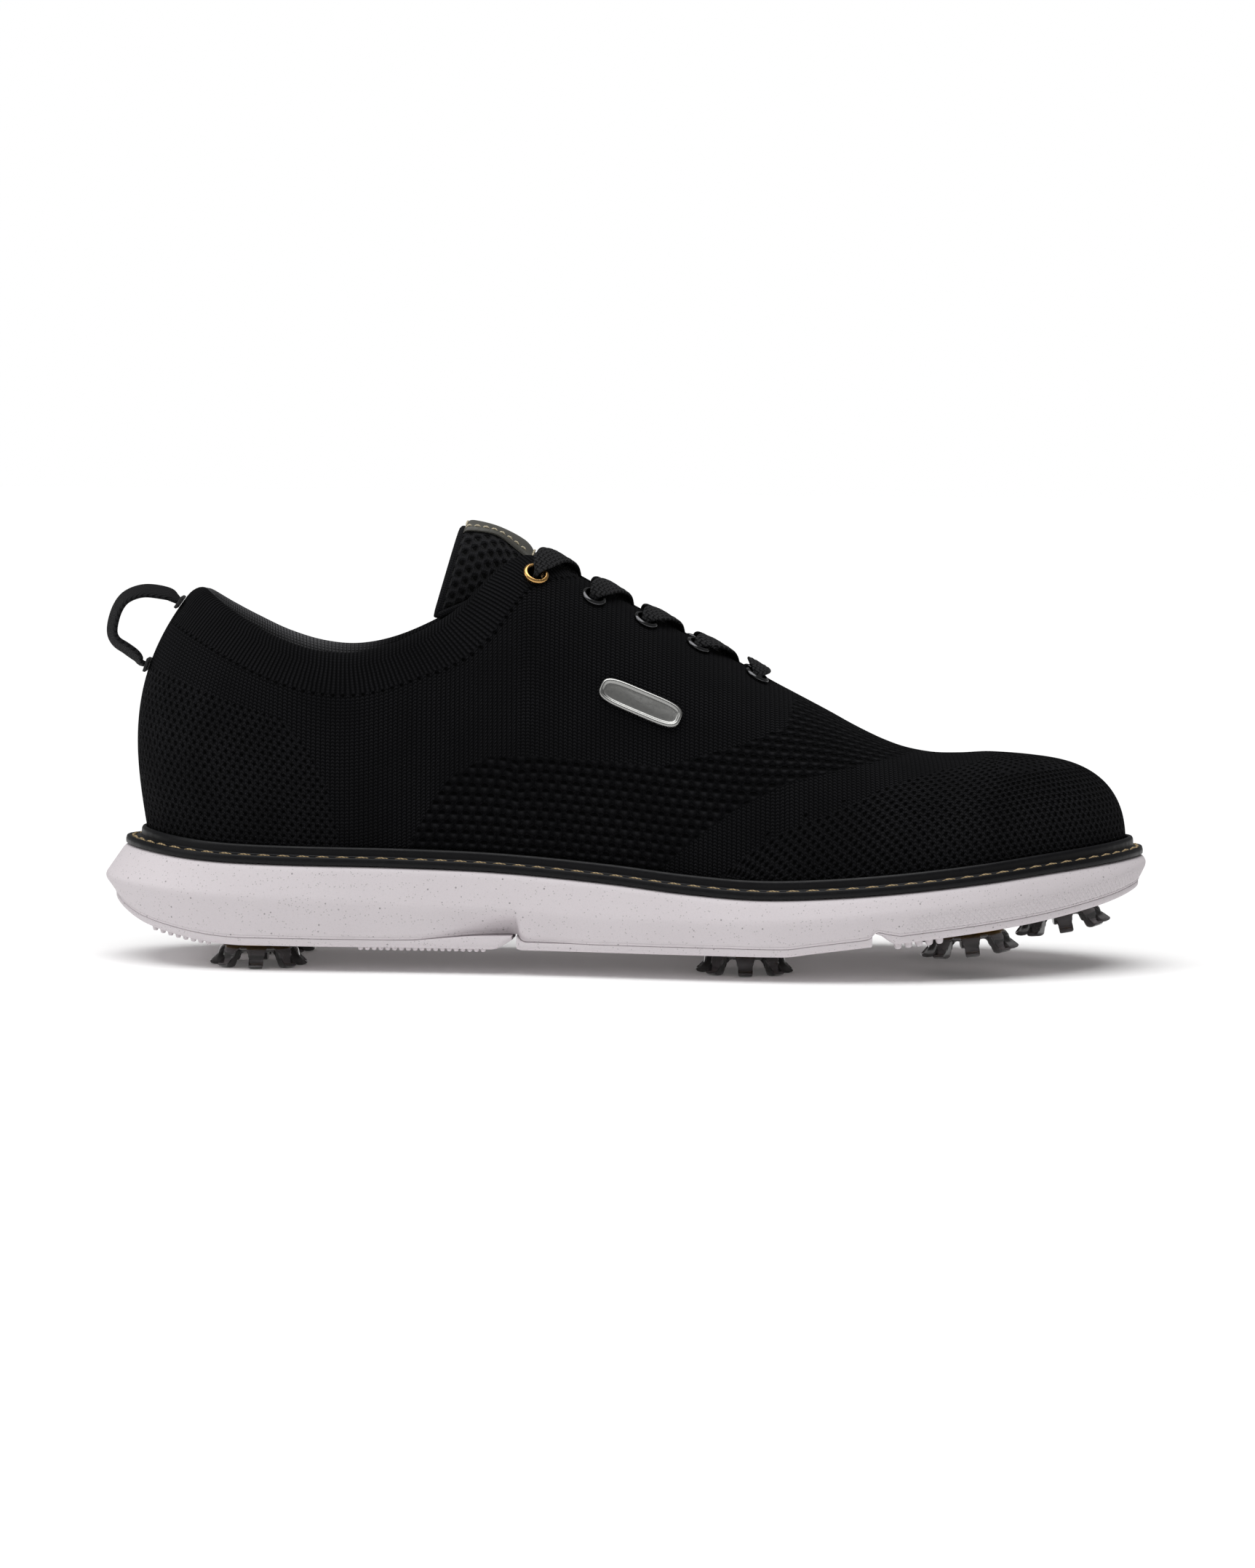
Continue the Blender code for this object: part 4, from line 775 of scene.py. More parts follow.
def foam_finish():
    """Pale moulded foam with fine grey specks and, where the mesh says so, a diamond grain."""
    made = Finish("pale_foam", (0.66, 0.615, 0.637), 0.66, specular_ior_level=0.2)
    u, v = made.uv("grain")
    diamond = made.value("diamond")
    a, b = ((field / DIAMOND_PITCH).saw().step(0.5, 0.25) for field in (u + v, u - v))
    ridges = a * b * diamond
    soft = made.noise(55, 4)
    fine = made.noise(2600, 2)
    speck, dust = (
        made.cells(scale).step(*size) * made.parts(made.cells(scale, "Color"))[channel].step(*few)
        for scale, size, channel, few in ((520, (0.17, 0.11), 0, (0.80, 0.82)),
                                          (1300, (0.30, 0.18), 1, (0.62, 0.66)))
    )
    made.tint(soft.step(0.3, 0.75) * 0.4, (0.625, 0.58, 0.60))
    made.tint(fine.step(0.45, 0.75) * 0.22, (0.50, 0.47, 0.475))
    made.tint(speck * 0.6, (0.12, 0.117, 0.115))
    made.tint(dust * 0.45, (0.26, 0.25, 0.245))
    made.rough(soft.step(0.2, 0.8, 0.56, 0.70))
    made.bump(ridges * 0.10 + fine * 0.035 + made.noise(500, 3) * 0.06)
    return made


def plain_finish(name, colour, roughness, scale, depth, shade=0.85, metallic=0.0, spread=0.06, **sockets):
    """Moulded or sheet material: slight unevenness of colour, gloss and surface."""
    made = Finish(name, colour, roughness, metallic, **sockets)
    soft, fine = made.noise(45, 3), made.noise(scale, 3)
    made.tint(soft.step(0.3, 0.75), tuple(c * shade for c in colour))
    made.rough(fine.step(0.2, 0.8, roughness - spread, roughness + spread))
    made.bump(fine * depth)
    return made


def metal_finish(name, colour, roughness):
    """Plated metal, slightly worn."""
    made = Finish(name, colour, roughness, 1.0)
    wear, grain = made.noise(400, 3), made.noise(1500, 2)
    made.tint(wear.step(0.5, 0.8) * 0.5, tuple(c * 0.7 for c in colour))
    made.rough(grain.step(0.25, 0.75, roughness - 0.06, roughness + 0.1))
    made.bump(grain * 0.012)
    return made


def thread_finish(name, colour, dark):
    """Twisted thread by its UV map: u round it and v along it, in millimetres."""
    made = Finish(name, colour, 0.7, specular_ior_level=0.3, sheen_weight=0.1)
    u, v = made.uv("weave")
    twist = (v * 1.1 + u * 0.9).saw().step(0.5, 0.2)
    # painted shade: the grooves between the twisted plies are coloured darker
    made.tint(twist.flip() * 0.75, dark)
    made.tint(made.noise(900, 2).step(0.4, 0.75) * 0.4, tuple(c * 0.6 for c in colour))
    made.bump(twist * 0.09 + made.noise(2500, 2) * 0.04)
    return made


# ================================================================ the upper's face as a grid
def smooth_all(rows, xs):
    return np.array([smooth(rows, x) for x in xs])


def ring_of(toe_to_heel):
    """(side, q) all the way round, from the toe along the lateral side to the heel and back."""
    return [(LATERAL, q) for q in toe_to_heel] + [(MEDIAL, q) for q in reversed(toe_to_heel[1:-1])]


RIB_SAMPLES = 300
SMOOTHING_REACH, SMOOTHING_PASSES = 10, 40


class Skin:
    """Columns round the shoe, each with rows at even lengths up its rib, smoothed at the throat's top."""

    def __init__(self, ring, rows):
        ribs = [Rib(side, q) for side, q in ring]
        self.side = np.array([side for side, _ in ring])
        self.q = np.array([q for _, q in ring])
        self.key = np.array([rib.key for rib in ribs])
        share = eased(np.linspace(0, 1, RIB_SAMPLES))
        columns, heights = [], []
        for rib in ribs:
            fine = rib.points(rib.arc * share)
            along = lengths(fine)
            columns.append(read_along(np.linspace(0, along[-1], rows), along, fine))
            heights.append(along[-1])
        self.at = np.array(columns)
        near = 0.5 * np.exp(-((self.key - THROAT_TOP) / SMOOTHING_REACH) ** 2)[:, None, None]
        for _ in range(SMOOTHING_PASSES):
            beside = (np.roll(self.at, 1, 0) + np.roll(self.at, -1, 0)) / 2
            self.at += (beside - self.at) * near
        self.length = np.array(heights)
        self.high = np.outer(self.length, np.linspace(0, 1, rows))
        self.up = unit(np.gradient(self.at, axis=1))
        self.normal = unit(np.cross(self.up, np.roll(self.at, -1, 0) - np.roll(self.at, 1, 0)))
        count = len(ring)
        for k in range(1, count // 2):
            if self.key[k] > THROAT_FRONT - 0.01:
                mean = unit(self.normal[k, -1] + self.normal[count - k, -1])
                self.normal[k, -1] = self.normal[count - k, -1] = mean
        edge = self.at[:, 0]
        steps = np.linalg.norm(np.roll(edge, -1, 0) - edge, axis=1)
        half = count // 2
        lateral = np.concatenate([[0], np.cumsum(steps[:half])])
        medial = np.concatenate([[0], np.cumsum(steps[half:][::-1])])[:-1]
        medial = medial * lateral[-1] / (medial[-1] + steps[half])
        self.along = np.concatenate([lateral, medial[1:][::-1]])
        spacing = np.linalg.norm(np.roll(self.at, -1, 0) - np.roll(self.at, 1, 0), axis=2)
        self.squeeze = spacing / spacing[:, :1]


SKIN_ROWS, RIM_ROWS = 84, 14
SKIN = Skin(ring_of(stations(
    (0, TOE_SHARE, 56), (TOE_SHARE, station_of(THROAT_FRONT), 60),
    (station_of(THROAT_FRONT), station_of(THROAT_TOP), 78), (station_of(THROAT_TOP), HEEL_SHARE, 70),
    (HEEL_SHARE, 1, 48),
)), SKIN_ROWS)
HEEL_ZONE = [(-81.9, 39.1), (-80, 20), (-80, 0), (-200, 0), (-200, 86), (-131.8, 83.7), (-114.3, 76.3),
             (-97.6, 71.3), (-91.7, 64.8), (-85.7, 54.5)]
MESH_ZONE = [(-64, 0), (-61.6, 36), (-54.6, 49.5), (-50.5, 55.3), (-40.5, 61.2), (-26.4, 62), (-5, 60.8),
             (9.4, 59.6), (30.6, 65.6), (44.7, 70.7), (52, 90), (96, 90), (90, 63.4), (81.8, 62.4),
             (70, 60.8), (58.3, 58.6), (44.8, 55.5), (30.8, 48.2), (20.2, 40.2), (11.1, 32.3), (6, 20),
             (6, 0)]
TOE_ZONE = [(20, 0), (26, 28.9), (33.7, 35.7), (43.7, 42.2), (58.2, 47.7), (73.8, 54.5), (89.3, 58.2),
            (99.3, 59.9), (104.8, 62.2), (110, 90), (200, 90), (200, 0)]
WING_HEIGHT = [(20, -4), (26, 0), (33, 9), (45, 17), (60, 22.5), (75.6, 29), (91.5, 32), (105, 34), (145, 34)]
BAND_WIDTH = [(-138, 8.2), (-62, 8.2), (-48, 10.5), (-36, 12), (46, 12)]
CELL_HEIGHT = 60.0


def nearest(points, line):
    """How far along a polyline the point nearest to each point lies, and how far off it is."""
    steps = np.linalg.norm(np.diff(line, axis=0), axis=1)
    start = np.concatenate([[0], np.cumsum(steps)])
    best, along = np.full(len(points), 1e9), np.zeros(len(points))
    for k, step in enumerate(steps):
        run = line[k + 1] - line[k]
        t = np.clip(((points - line[k]) @ run) / (step * step + 1e-12), 0, 1)
        off = np.linalg.norm(points - line[k] - t[:, None] * run, axis=1)
        closer = off < best
        best[closer], along[closer] = off[closer], (start[k] + t * step)[closer]
    return along, best


def rib_map():
    """For each point of the skin: distance along the topline from the heel, and distance below it."""
    out = np.zeros((*SKIN.at.shape[:2], 2))
    out[..., 1] = 99
    for side in (LATERAL, MEDIAL):
        mine = np.where((SKIN.side == side) | (SKIN.q > 0.9999))[0]
        mine = mine[np.argsort(-SKIN.q[mine])]
        line = np.array([SKIN.at[k, -1] for k in mine if SKIN.key[k] <= THROAT_TOP + 0.01])
        line = np.vstack([line, line[-1] + unit(line[-1] - line[-4]) * 15])
        near = [k for k in mine if SKIN.key[k] < 0]
        along, off = nearest(SKIN.at[near].reshape(-1, 3), line)
        band = np.repeat(smooth_all(BAND_WIDTH, SKIN.key[near]), SKIN.at.shape[1])
        values = np.stack([along, off * BAND_WIDTH[0][1] / band], 1)
        out[near] = values.reshape(len(near), -1, 2)
    return out


def skin_maps():
    """UV maps and values of every skin point, as arrays of columns by rows."""
    along = np.repeat(SKIN.along[:, None], SKIN_ROWS, 1)
    down = SKIN.length[:, None] - SKIN.high
    fan = SKIN.q < TOE_SHARE
    turn = math.pi / 2 * SKIN.q[:, None] / TOE_SHARE
    start = SKIN.along[int(np.argmin(np.abs(SKIN.q[: len(SKIN.q) // 2] - TOE_SHARE)))]
    knit_u = np.where(fan[:, None], TOE_FAN + down * np.cos(turn), TOE_FAN - (along - start))
    knit_v = np.where(fan[:, None], down * np.sin(turn), down) * SKIN.side[:, None]
    share = np.clip((-62 - SKIN.key) / 18, 0, 1)[:, None]
    cell_v = SKIN.high * (1 + share * (CELL_HEIGHT / SKIN.length[:, None] - 1))
    toe_v = SKIN.high - smooth_all(WING_HEIGHT, SKIN.key)[:, None]
    flat = SKIN.at.reshape(-1, 3)[:, [0, 2]]
    zones = np.stack([edge_distance(flat, zone) for zone in (HEEL_ZONE, MESH_ZONE, TOE_ZONE)], 1)
    return {
        "knit": np.stack([knit_u, knit_v], 2), "cell": np.stack([along, cell_v], 2),
        "toe": np.stack([along, toe_v], 2), "rib": rib_map(),
    }, {"zones": zones.reshape(*SKIN.at.shape[:2], 3), "squeeze": SKIN.squeeze}


def rim_grid(turns, inset):
    """Points of the rolled edge over the top of every column, from outside over to inside."""
    width, height = smooth_all(ROLL_WIDTH, SKIN.key), smooth_all(ROLL_HEIGHT, SKIN.key)
    flat = np.clip((width - 1.9) / 1.5, 0, 1)
    rows = []
    for turn in turns:
        if inset:
            across = width / 2 - np.maximum(width / 2 - inset, 0) * math.cos(turn)
            across = width + (across - width) * flat
            rise = np.maximum(height - inset, 0) * math.sin(turn) * flat
        else:
            across = width / 2 * (1 - math.cos(turn))
            rise = height * math.sin(turn)
        rows.append(SKIN.at[:, -1] - SKIN.normal[:, -1] * across[:, None] + SKIN.up[:, -1] * rise[:, None])
    return np.stack(rows, 1)


def make_knit_upper(finish):
    """The whole knit in one skin: outer face, rolled collar and throat edge, inner face."""
    columns = len(SKIN.key)
    turns = [math.pi * k / RIM_ROWS for k in range(1, RIM_ROWS + 1)]
    rim = rim_grid(turns, 0)
    outer = np.concatenate([SKIN.at, rim], 1)
    back = rim_grid(turns[::-2], 1.0)[::2]
    wall_in = (SKIN.at - SKIN.normal * KNIT)[::2, ::-2]
    inner = np.concatenate([back, wall_in], 1)
    size, inner_size, rim_size = outer.shape[1], inner.shape[1], back.shape[1]
    base = columns * size
    open_column = SKIN.key < THROAT_FRONT + 0.01
    faces = []
    for k in range(columns):
        n = (k + 1) % columns
        top = size - 1 if open_column[k] and open_column[n] else SKIN_ROWS - 1
        faces += [(k * size + j, n * size + j, n * size + j + 1, k * size + j + 1) for j in range(top)]
    for k in range(0, columns, 2):
        m, n = k + 1, (k + 2) % columns
        a, b = base + k // 2 * inner_size, base + n // 2 * inner_size
        is_open = open_column[k] and open_column[n]
        faces += [(a + j, b + j, b + j + 1, a + j + 1)
                  for j in range(0 if is_open else rim_size, inner_size - 1)]
        if is_open:
            faces.append((k * size + size - 1, m * size + size - 1, n * size + size - 1, b, a))
        faces.append((k * size, a + inner_size - 1, b + inner_size - 1, n * size, m * size))
    points = np.concatenate([outer.reshape(-1, 3), inner.reshape(-1, 3)])
    faces = pierce(points, faces)

    maps, values = skin_maps()
    spread = {}
    for key, grid in (*maps.items(), *values.items()):
        if grid.ndim == 2:
            grid = grid[..., None]
        over = np.repeat(grid[:, -1:], RIM_ROWS, 1)
        if key == "rib":
            climb = np.linalg.norm(np.diff(outer[:, SKIN_ROWS - 1:], axis=1), axis=2).cumsum(1)
            here = SKIN.key < THROAT_TOP + 0.01
            over[here, :, 1] = -climb[here]
        under = np.repeat(grid[::2, -1:], inner_size, 1) * 0 + (-9 if key == "zones" else 99)
        if key == "knit":
            under[:, :, 0] = grid[::2, -1:, 0]
            under[:, rim_size:, 1] = grid[::2, ::-2, 1]
        spread[key] = np.concatenate([np.concatenate([grid, over], 1).reshape(-1, grid.shape[2]),
                                      under.reshape(-1, grid.shape[2])])
    uvs = {key: grid_uv(faces, spread[key]) for key in maps}
    made = build("knit_skin", points, faces, finish, uvs,
                 {"zones": spread["zones"], "squeeze": np.clip(spread["squeeze"][:, 0], 0.05, 3)})
    piece(made, "shoe", "black_knit", "knit_upper", "collar_roll")


HOLE_RADIUS, HOLE_REACH = 2.95, 4


def pierce(points, faces):
    """Opens the knit for each eyelet, and rounds the edge of the hole."""
    index = np.full((len(faces), 5), -1)
    for k, face in enumerate(faces):
        index[k, : len(face)] = face
    index = np.where(index < 0, index[:, :1], index)
    centres = points[index].mean(1)
    gone = np.zeros(len(faces), bool)
    for x, half in EYELETS:
        for side in (LATERAL, MEDIAL):
            at, normal = (np.array(v) for v in instep(x, side * half))

            def off_axis(where):
                rel = where - at
                deep = rel @ normal
                return rel - deep[..., None] * normal, deep

            flat, deep = off_axis(centres)
            near = (np.linalg.norm(flat, axis=1) < HOLE_RADIUS - 0.05) & (np.abs(deep) < HOLE_REACH)
            gone |= near
            touched = np.unique(index[near])
            flat, _ = off_axis(points[touched])
            points[touched] += unit(flat) * HOLE_RADIUS - flat
    return [face for face, out in zip(faces, gone) if not out]


# ================================================================ layers inside the upper
def layered(name, outer, inner, finish, uv=None, **extra):
    """A sheet between two grids of columns by rows, closed round its edges."""
    columns, rows = outer.shape[:2]
    points = np.concatenate([outer.reshape(-1, 3), inner.reshape(-1, 3)])
    base = columns * rows
    faces = net(columns, rows)
    faces += [tuple(base + i for i in reversed(face)) for face in faces]
    around = [k * rows for k in range(columns)] + [(columns - 1) * rows + j for j in range(1, rows)]
    around += [k * rows + rows - 1 for k in range(columns - 2, -1, -1)] + list(range(rows - 2, 0, -1))
    faces += [(a, b, b + base, a + base) for a, b in zip(around, around[1:] + around[:1])]
    uvs = None
    if uv is not None:
        uvs = {"weave": grid_uv(faces, np.concatenate([uv.reshape(-1, 2)] * 2))}
    return build(name, points, faces, finish, uvs, **extra)


COLLAR_FRONT = -51
LINING_DEPTH, LINING_THICK, PAD_SWELL = 5.3, 0.9, 0.9
FOAM_DEPTH, FOAM_THICK = 2.0, 2.6
FOOTBED_ROOM = [(-138, 7.4), (-45, 7.4), (-25, 4.2), (145, 4.2)]  # from the feather edge in to the footbed


def make_inner_layers(finishes):
    """Lining with its soft heel pads, and the foam between it and the knit."""
    columns = [k for k in range(0, len(SKIN.key), 2) if SKIN.key[k] <= COLLAR_FRONT]
    key = SKIN.key[columns]
    rows = list(range(6, SKIN_ROWS - 1, 2)) + [SKIN_ROWS - 1]
    at, normal, up = (field[columns][:, rows] for field in (SKIN.at, SKIN.normal, SKIN.up))
    share = (np.array(rows) / (SKIN_ROWS - 1))[None, :]
    front = eased(np.clip((COLLAR_FRONT - key) / 10, 0, 1)[:, None])
    pad = np.exp(-((share - 0.72) / 0.16) ** 2) * (0.6 + 0.4 * np.cos((key[:, None] + 100) / 9))
    depth = (LINING_DEPTH + PAD_SWELL * pad) * front + 2.4 * (1 - front)
    fit = np.clip((share - 0.90) / 0.10, 0, 1)
    depth = depth * (1 - fit) + (smooth_all(ROLL_WIDTH, key)[:, None] - 0.15) * fit
    lift = 0.7 * fit[..., None]
    outer = at - normal * (depth[..., None]) + up * lift
    inner = at - normal * (np.maximum(depth - LINING_THICK, 1.95)[..., None]) + up * lift * 0.6
    uv = np.stack([np.repeat(SKIN.along[columns][:, None], len(rows), 1), SKIN.high[columns][:, rows]], 2)
    piece(layered("heel_lining", inner, outer, finishes["lining"], uv), "shoe", "lining_textile", "lining",
          padded=0.5)

    rows = [r for r in range(0, SKIN_ROWS, 2) if 0.66 < r / (SKIN_ROWS - 1) < 0.97]
    at, normal = SKIN.at[columns][:, rows], SKIN.normal[columns][:, rows]
    thick = (np.clip((COLLAR_FRONT - key) / 8, 0.15, 1))[:, None, None]
    outer, inner = at - normal * FOAM_DEPTH, at - normal * (FOAM_DEPTH + FOAM_THICK * thick)
    piece(layered("collar_padding", outer, inner, finishes["foam"]), "shoe", "pad_foam", "collar_foam",
          padded=0.7)


def side_points(edge, out, line, level=0):
    """Points of a profile given as (offset outside the feather edge, height over a level)."""
    return [np.array((*(edge + out * a), level + b)) for a, b in line]


def full_plan(name, ring, profile, finish, fill_rows=10, uv_name="weave", mark=None, **extra):
    """A solid of the whole plan outline. profile(side, q) gives points up its side, from the bottom edge
    to the top one; the bottom and the top are filled across."""
    columns = [profile(side, q) for side, q in ring]
    loops = np.array(columns)
    count, size = loops.shape[:2]
    points = list(loops.reshape(-1, 3))
    faces = net(count, size, closed_rows=True)
    half = count // 2
    for row, flip in ((0, True), (size - 1, False)):
        across = {}
        for k in range(half + 1):
            a, b = k, (count - k) % count
            if a == b:
                across[k] = [a * size + row] * (fill_rows + 1)
                continue
            line = [a * size + row]
            for s in range(1, fill_rows):
                points.append(loops[a, row] + (loops[b, row] - loops[a, row]) * s / fill_rows)
                line.append(len(points) - 1)
            across[k] = line + [b * size + row]
        for k in range(half):
            for s in range(fill_rows):
                face = [across[k][s], across[k + 1][s], across[k + 1][s + 1], across[k][s + 1]]
                face = list(dict.fromkeys(face))
                if len(face) > 2:
                    faces.append(tuple(face if flip else reversed(face)))
    points = np.array(points)
    along = lengths(loops[:, size // 2])
    up = np.zeros((count, size))
    up[:, 1:] = np.linalg.norm(np.diff(loops, axis=1), axis=2).cumsum(1)
    uv = points[:, :2].copy()
    uv[: count * size] = np.stack([np.repeat(along[:, None], size, 1), up], 2).reshape(-1, 2)
    values = {"diamond": mark(points)} if mark else None
    return build(name, points, faces, finish, {uv_name: grid_uv(faces, uv)}, values, **extra)


def rounded(corners, radii, steps):
    """Polyline through the corners, each inner one rounded off over its radius."""
    corners = [Vector(c) for c in corners]
    out = [corners[0]]
    for a, b, c, radius in zip(corners, corners[1:], corners[2:], radii):
        start = b + (a - b).normalized() * min(radius, (a - b).length * 0.48)
        end = b + (c - b).normalized() * min(radius, (c - b).length * 0.48)
        out += [start.lerp(b, k / steps).lerp(b.lerp(end, k / steps), k / steps) for k in range(steps + 1)]
    return out + [corners[-1]]


PLAN_STATIONS = stations((0, TOE_SHARE, 34), (TOE_SHARE, HEEL_SHARE, 170), (HEEL_SHARE, 1, 34))


def make_insole(finish):
    """The removable insole: a dished, cushioned sheet with a soft edge."""
    ring = ring_of(stations((0, TOE_SHARE, 20), (TOE_SHARE, HEEL_SHARE, 90), (HEEL_SHARE, 1, 20)))

    def profile(side, q):
        x, room = station_x(q), -smooth(FOOTBED_ROOM, station_key(q))
        corners = [(-2.5, 1.6), (-0.4, 1.7), (-0.4, 6.0), (-2.4, 6.7), (-6.5, 5.3), (-13, 4.9)]
        line = [(room + a, b) for a, b in rounded(corners, (0.5, 0.9, 1.2, 3), 4)]
        return side_points(*edge_point(side, x), line, smooth(SOLE_TOP, x))

    made = full_plan("insole", ring, profile, finish, fill_rows=16)
    piece(made, "shoe", "footbed_textile", "footbed", padded=0.3)


# ================================================================ bottom unit
ARCH_NOTCH = [(-60, 0), (-44, 0.8), (-32.5, 1), (-31, 1), (-29.2, 0), (-28, 0)]
FLEX_NOTCH = [(67.6, 0), (68.6, 0.2), (70.3, 1), (73.5, 0.55), (77, 0)]
SCOOP = [(-66, 0), (-52, 1.0), (-42, 3.0), (-31, 5.0), (-29, 1.6), (-20, 0.8), (-8, 0)]
FINE_STATIONS = (68, 68.6, 69.4, 70.1, 70.9, -28.6, -29.3, -30, -30.7)


def pad_top(x):
    return smooth(SOLE_BOTTOM, x) + PAD_THICK


def notch(x):
    """How far the foam rises over the gaps between the pads: an arch at the waist, a hook at the flex."""
    return NOTCH_DEPTH * max(smooth(ARCH_NOTCH, x), smooth(FLEX_NOTCH, x))


def make_midsole_body(finish):
    """The foam: a lip over the pads, a lower facet out to a soft crease, and an upper facet."""
    qs = sorted(PLAN_STATIONS + [station_of(x) for x in FINE_STATIONS])

    def profile(side, q):
        key, x = station_key(q), station_x(q)
        edge, out = edge_point(side, x)
        foot, bulge, ledge = smooth(SOLE_FOOT, key), smooth(MIDSOLE_BULGE, key), smooth(WELT_EDGE, key)
        reach = (edge + out * foot).x
        low = pad_top(reach) + GAP + notch(reach)
        crease, top = smooth(CREASE, x), smooth(SOLE_TOP, x)
        scoop = smooth(SCOOP, x)
        corners = [
            (foot - 1.5 - scoop, low), (foot - 0.05 - scoop, low), (foot + 0.3 - scoop, low + 0.5),
            (foot + 0.16 - scoop, low + 0.8), (foot + 0.6 - scoop * 0.75, low + 1.3 + scoop * 0.5),
            (bulge + 0.1, crease), (ledge + 0.55, top - 0.8), (ledge - 0.6, top),
        ]
        return side_points(edge, out, rounded(corners, (0.2, 0.3, 0.25, 0.4, 1.5, 1.3), 5))

    def mark(points):
        """Where the fine diamond grain lies: the lower facet ahead of the flex line."""
        crease = np.interp(points[:, 0], [c[0] for c in CREASE], [c[1] for c in CREASE])
        front = np.clip((points[:, 0] - 76) / 5, 0, 1)
        return front * np.clip((crease - 0.6 - points[:, 2]) / 0.8, 0, 1)

    made = full_plan("midsole_body", ring_of(qs), profile, finish, uv_name="grain", mark=mark, angle=50)
    piece(made, "shoe", "pale_eva", "midsole")


def upright(at, axis):
    """Puts a point given round +Z at a place, with +Z turned along an axis."""
    turn = Vector((0, 0, 1)).rotation_difference(Vector(axis)).to_matrix()
    return lambda x, y, z: Vector(at) + turn @ Vector((x, y, z))


def blob(at, axis, radius, height, sides=12):
    """Rings of a small rounded stud on a face, its axis pointing away from it."""
    put = upright(at, axis)
    profile = [(1.15, -0.6), (1.0, 0.0), (0.92, 0.45), (0.78, 0.8), (0.45, 0.97), (0.02, 1.0)]
    return [[put(radius * r * c, radius * r * s, height * z) for c, s in oval(sides)] for r, z in profile]


def merged(parts):
    """Points and faces of several meshes as one."""
    points, faces, base = [], [], 0
    for some_points, some_faces in parts:
        points += [tuple(p) for p in some_points]
        faces += [tuple(base + i for i in face) for face in some_faces]
        base += len(some_points)
    return np.array(points), faces


# rows of teeth along the edge: first and last x, pitch, radius, height
TEETH = [(-131, -115, 2.0, 0.8, 0.85), (-75, -37.5, 1.95, 0.8, 0.85), (76, 92, 2.9, 1.15, 1.5)]
GRIP_INSETS, GRIP_PITCH, GRIP_RADIUS, GRIP_HEIGHT, GRIP_CLEAR = (11, 18), 11.0, 2.4, 1.05, 17
WAIST_RISE = [(-37.8, 0), (-36, 0.5), (-32.2, 3.0), (-31.4, 3.1), (-30.8, 0)]
FLEX_RISE = [(69.6, 0), (70.0, 3.6), (75.6, 0.1), (76.5, 0)]
PAD_FILL = 8


def pad_rise(x):
    """How far a pad's underside rises at its ends, over the notches between the pads."""
    return max(smooth(WAIST_RISE, x), smooth(FLEX_RISE, x))


def pad_studs(first, last):
    """Small teeth along the edge of a pad, and flat studs between the cleats."""
    studs = []
    for side in (LATERAL, MEDIAL):
        for start, end, pitch, radius, height in TEETH:
            for n in range(int((end - start) / pitch)):
                x = start + pitch * n
                if not first < x < last:
                    continue
                edge, out = edge_point(side, x)
                at = edge + out * (smooth(SOLE_FOOT, station_key(station_of(x))) - 1.9 - radius)
                seat, axis = cleat_seat(at.x, at.y)
                studs.append(tube(blob(seat + Vector((0, 0, pad_rise(at.x))), -axis, radius, height, 8)))
        for inset in GRIP_INSETS:
            x = max(first, HEEL_X) + 10
            while x < min(last, TOE_X) - 9:
                edge, out = edge_point(side, x)
                at = edge - out * inset
                from_cleat = min(math.hypot(at.x - cx, at.y - cy) for cx, cy in CLEATS.values())
                if from_cleat > GRIP_CLEAR and at.y * side > 1:
                    seat, axis = cleat_seat(at.x, at.y)
                    place = seat + Vector((0, 0, 0.25))
                    studs.append(tube(blob(place, -axis, GRIP_RADIUS, GRIP_HEIGHT)))
                x += GRIP_PITCH
    return studs


def make_pad(name, first, last, finish):
    """One moulded pad under the midsole, with rows of small grip teeth and studs. Its ends thin out where
    the foam above them rises."""
    inner = [q for q in PLAN_STATIONS if first + 0.3 < station_x(q) < last - 0.3]
    ends = ([] if first < HEEL_X else [station_of(first)]) + ([] if last > TOE_X else [station_of(last)])
    qs = sorted(inner + ends)

    def profile(side, q):
        edge, out = edge_point(side, station_x(q))
        foot = smooth(SOLE_FOOT, station_key(q))
        reach = (edge + out * foot).x
        high = pad_top(reach) + notch(reach) + GAP - 0.04
        low = min(smooth(SOLE_BOTTOM, reach) + pad_rise(reach), high - 0.35)
        corners = [(foot - 8, low + 0.25), (foot - 4.5, low + 0.25), (foot - 3.6, low), (foot - 1.2, low),
                   (foot, min(low + 0.9, high - 0.2)), (foot, high), (foot - 2.5, high)]
        return side_points(edge, out, rounded(corners, (0.4, 0.4, 0.7, 0.7, 0.35), 4))

    lateral, medial = (np.array([profile(side, q) for q in qs]) for side in (LATERAL, MEDIAL))
    shares = [s / PAD_FILL for s in range(1, PAD_FILL)]
    below = [lateral[:, 0] + (medial[:, 0] - lateral[:, 0]) * s for s in shares]
    above = [medial[:, -1] + (lateral[:, -1] - medial[:, -1]) * s for s in shares]
    up, down = ([half[:, j] for j in range(half.shape[1])] for half in (medial, lateral))
    rings = np.stack(down[::-1] + below + up + above, 1)
    points, faces = tube(list(rings), caps=False)
    width = rings.shape[1]
    for end, flip in ((0, False), (len(qs) - 1, True)):
        if station_x(qs[end]) not in (TOE_X, HEEL_X):
            cap = [end * width + i for i in range(width)]
            faces.append(tuple(cap if flip else reversed(cap)))
    points, faces = merged([(points, faces)] + pad_studs(first, last))
    uvs = {"grain": grid_uv(faces, points[:, :2])}
    made = build(name.replace("outsole", "sole_pad"), points, faces, finish, uvs,
                 {"diamond": np.zeros(len(points))}, angle=50)
    piece(made, "shoe", "pale_tpu", name)


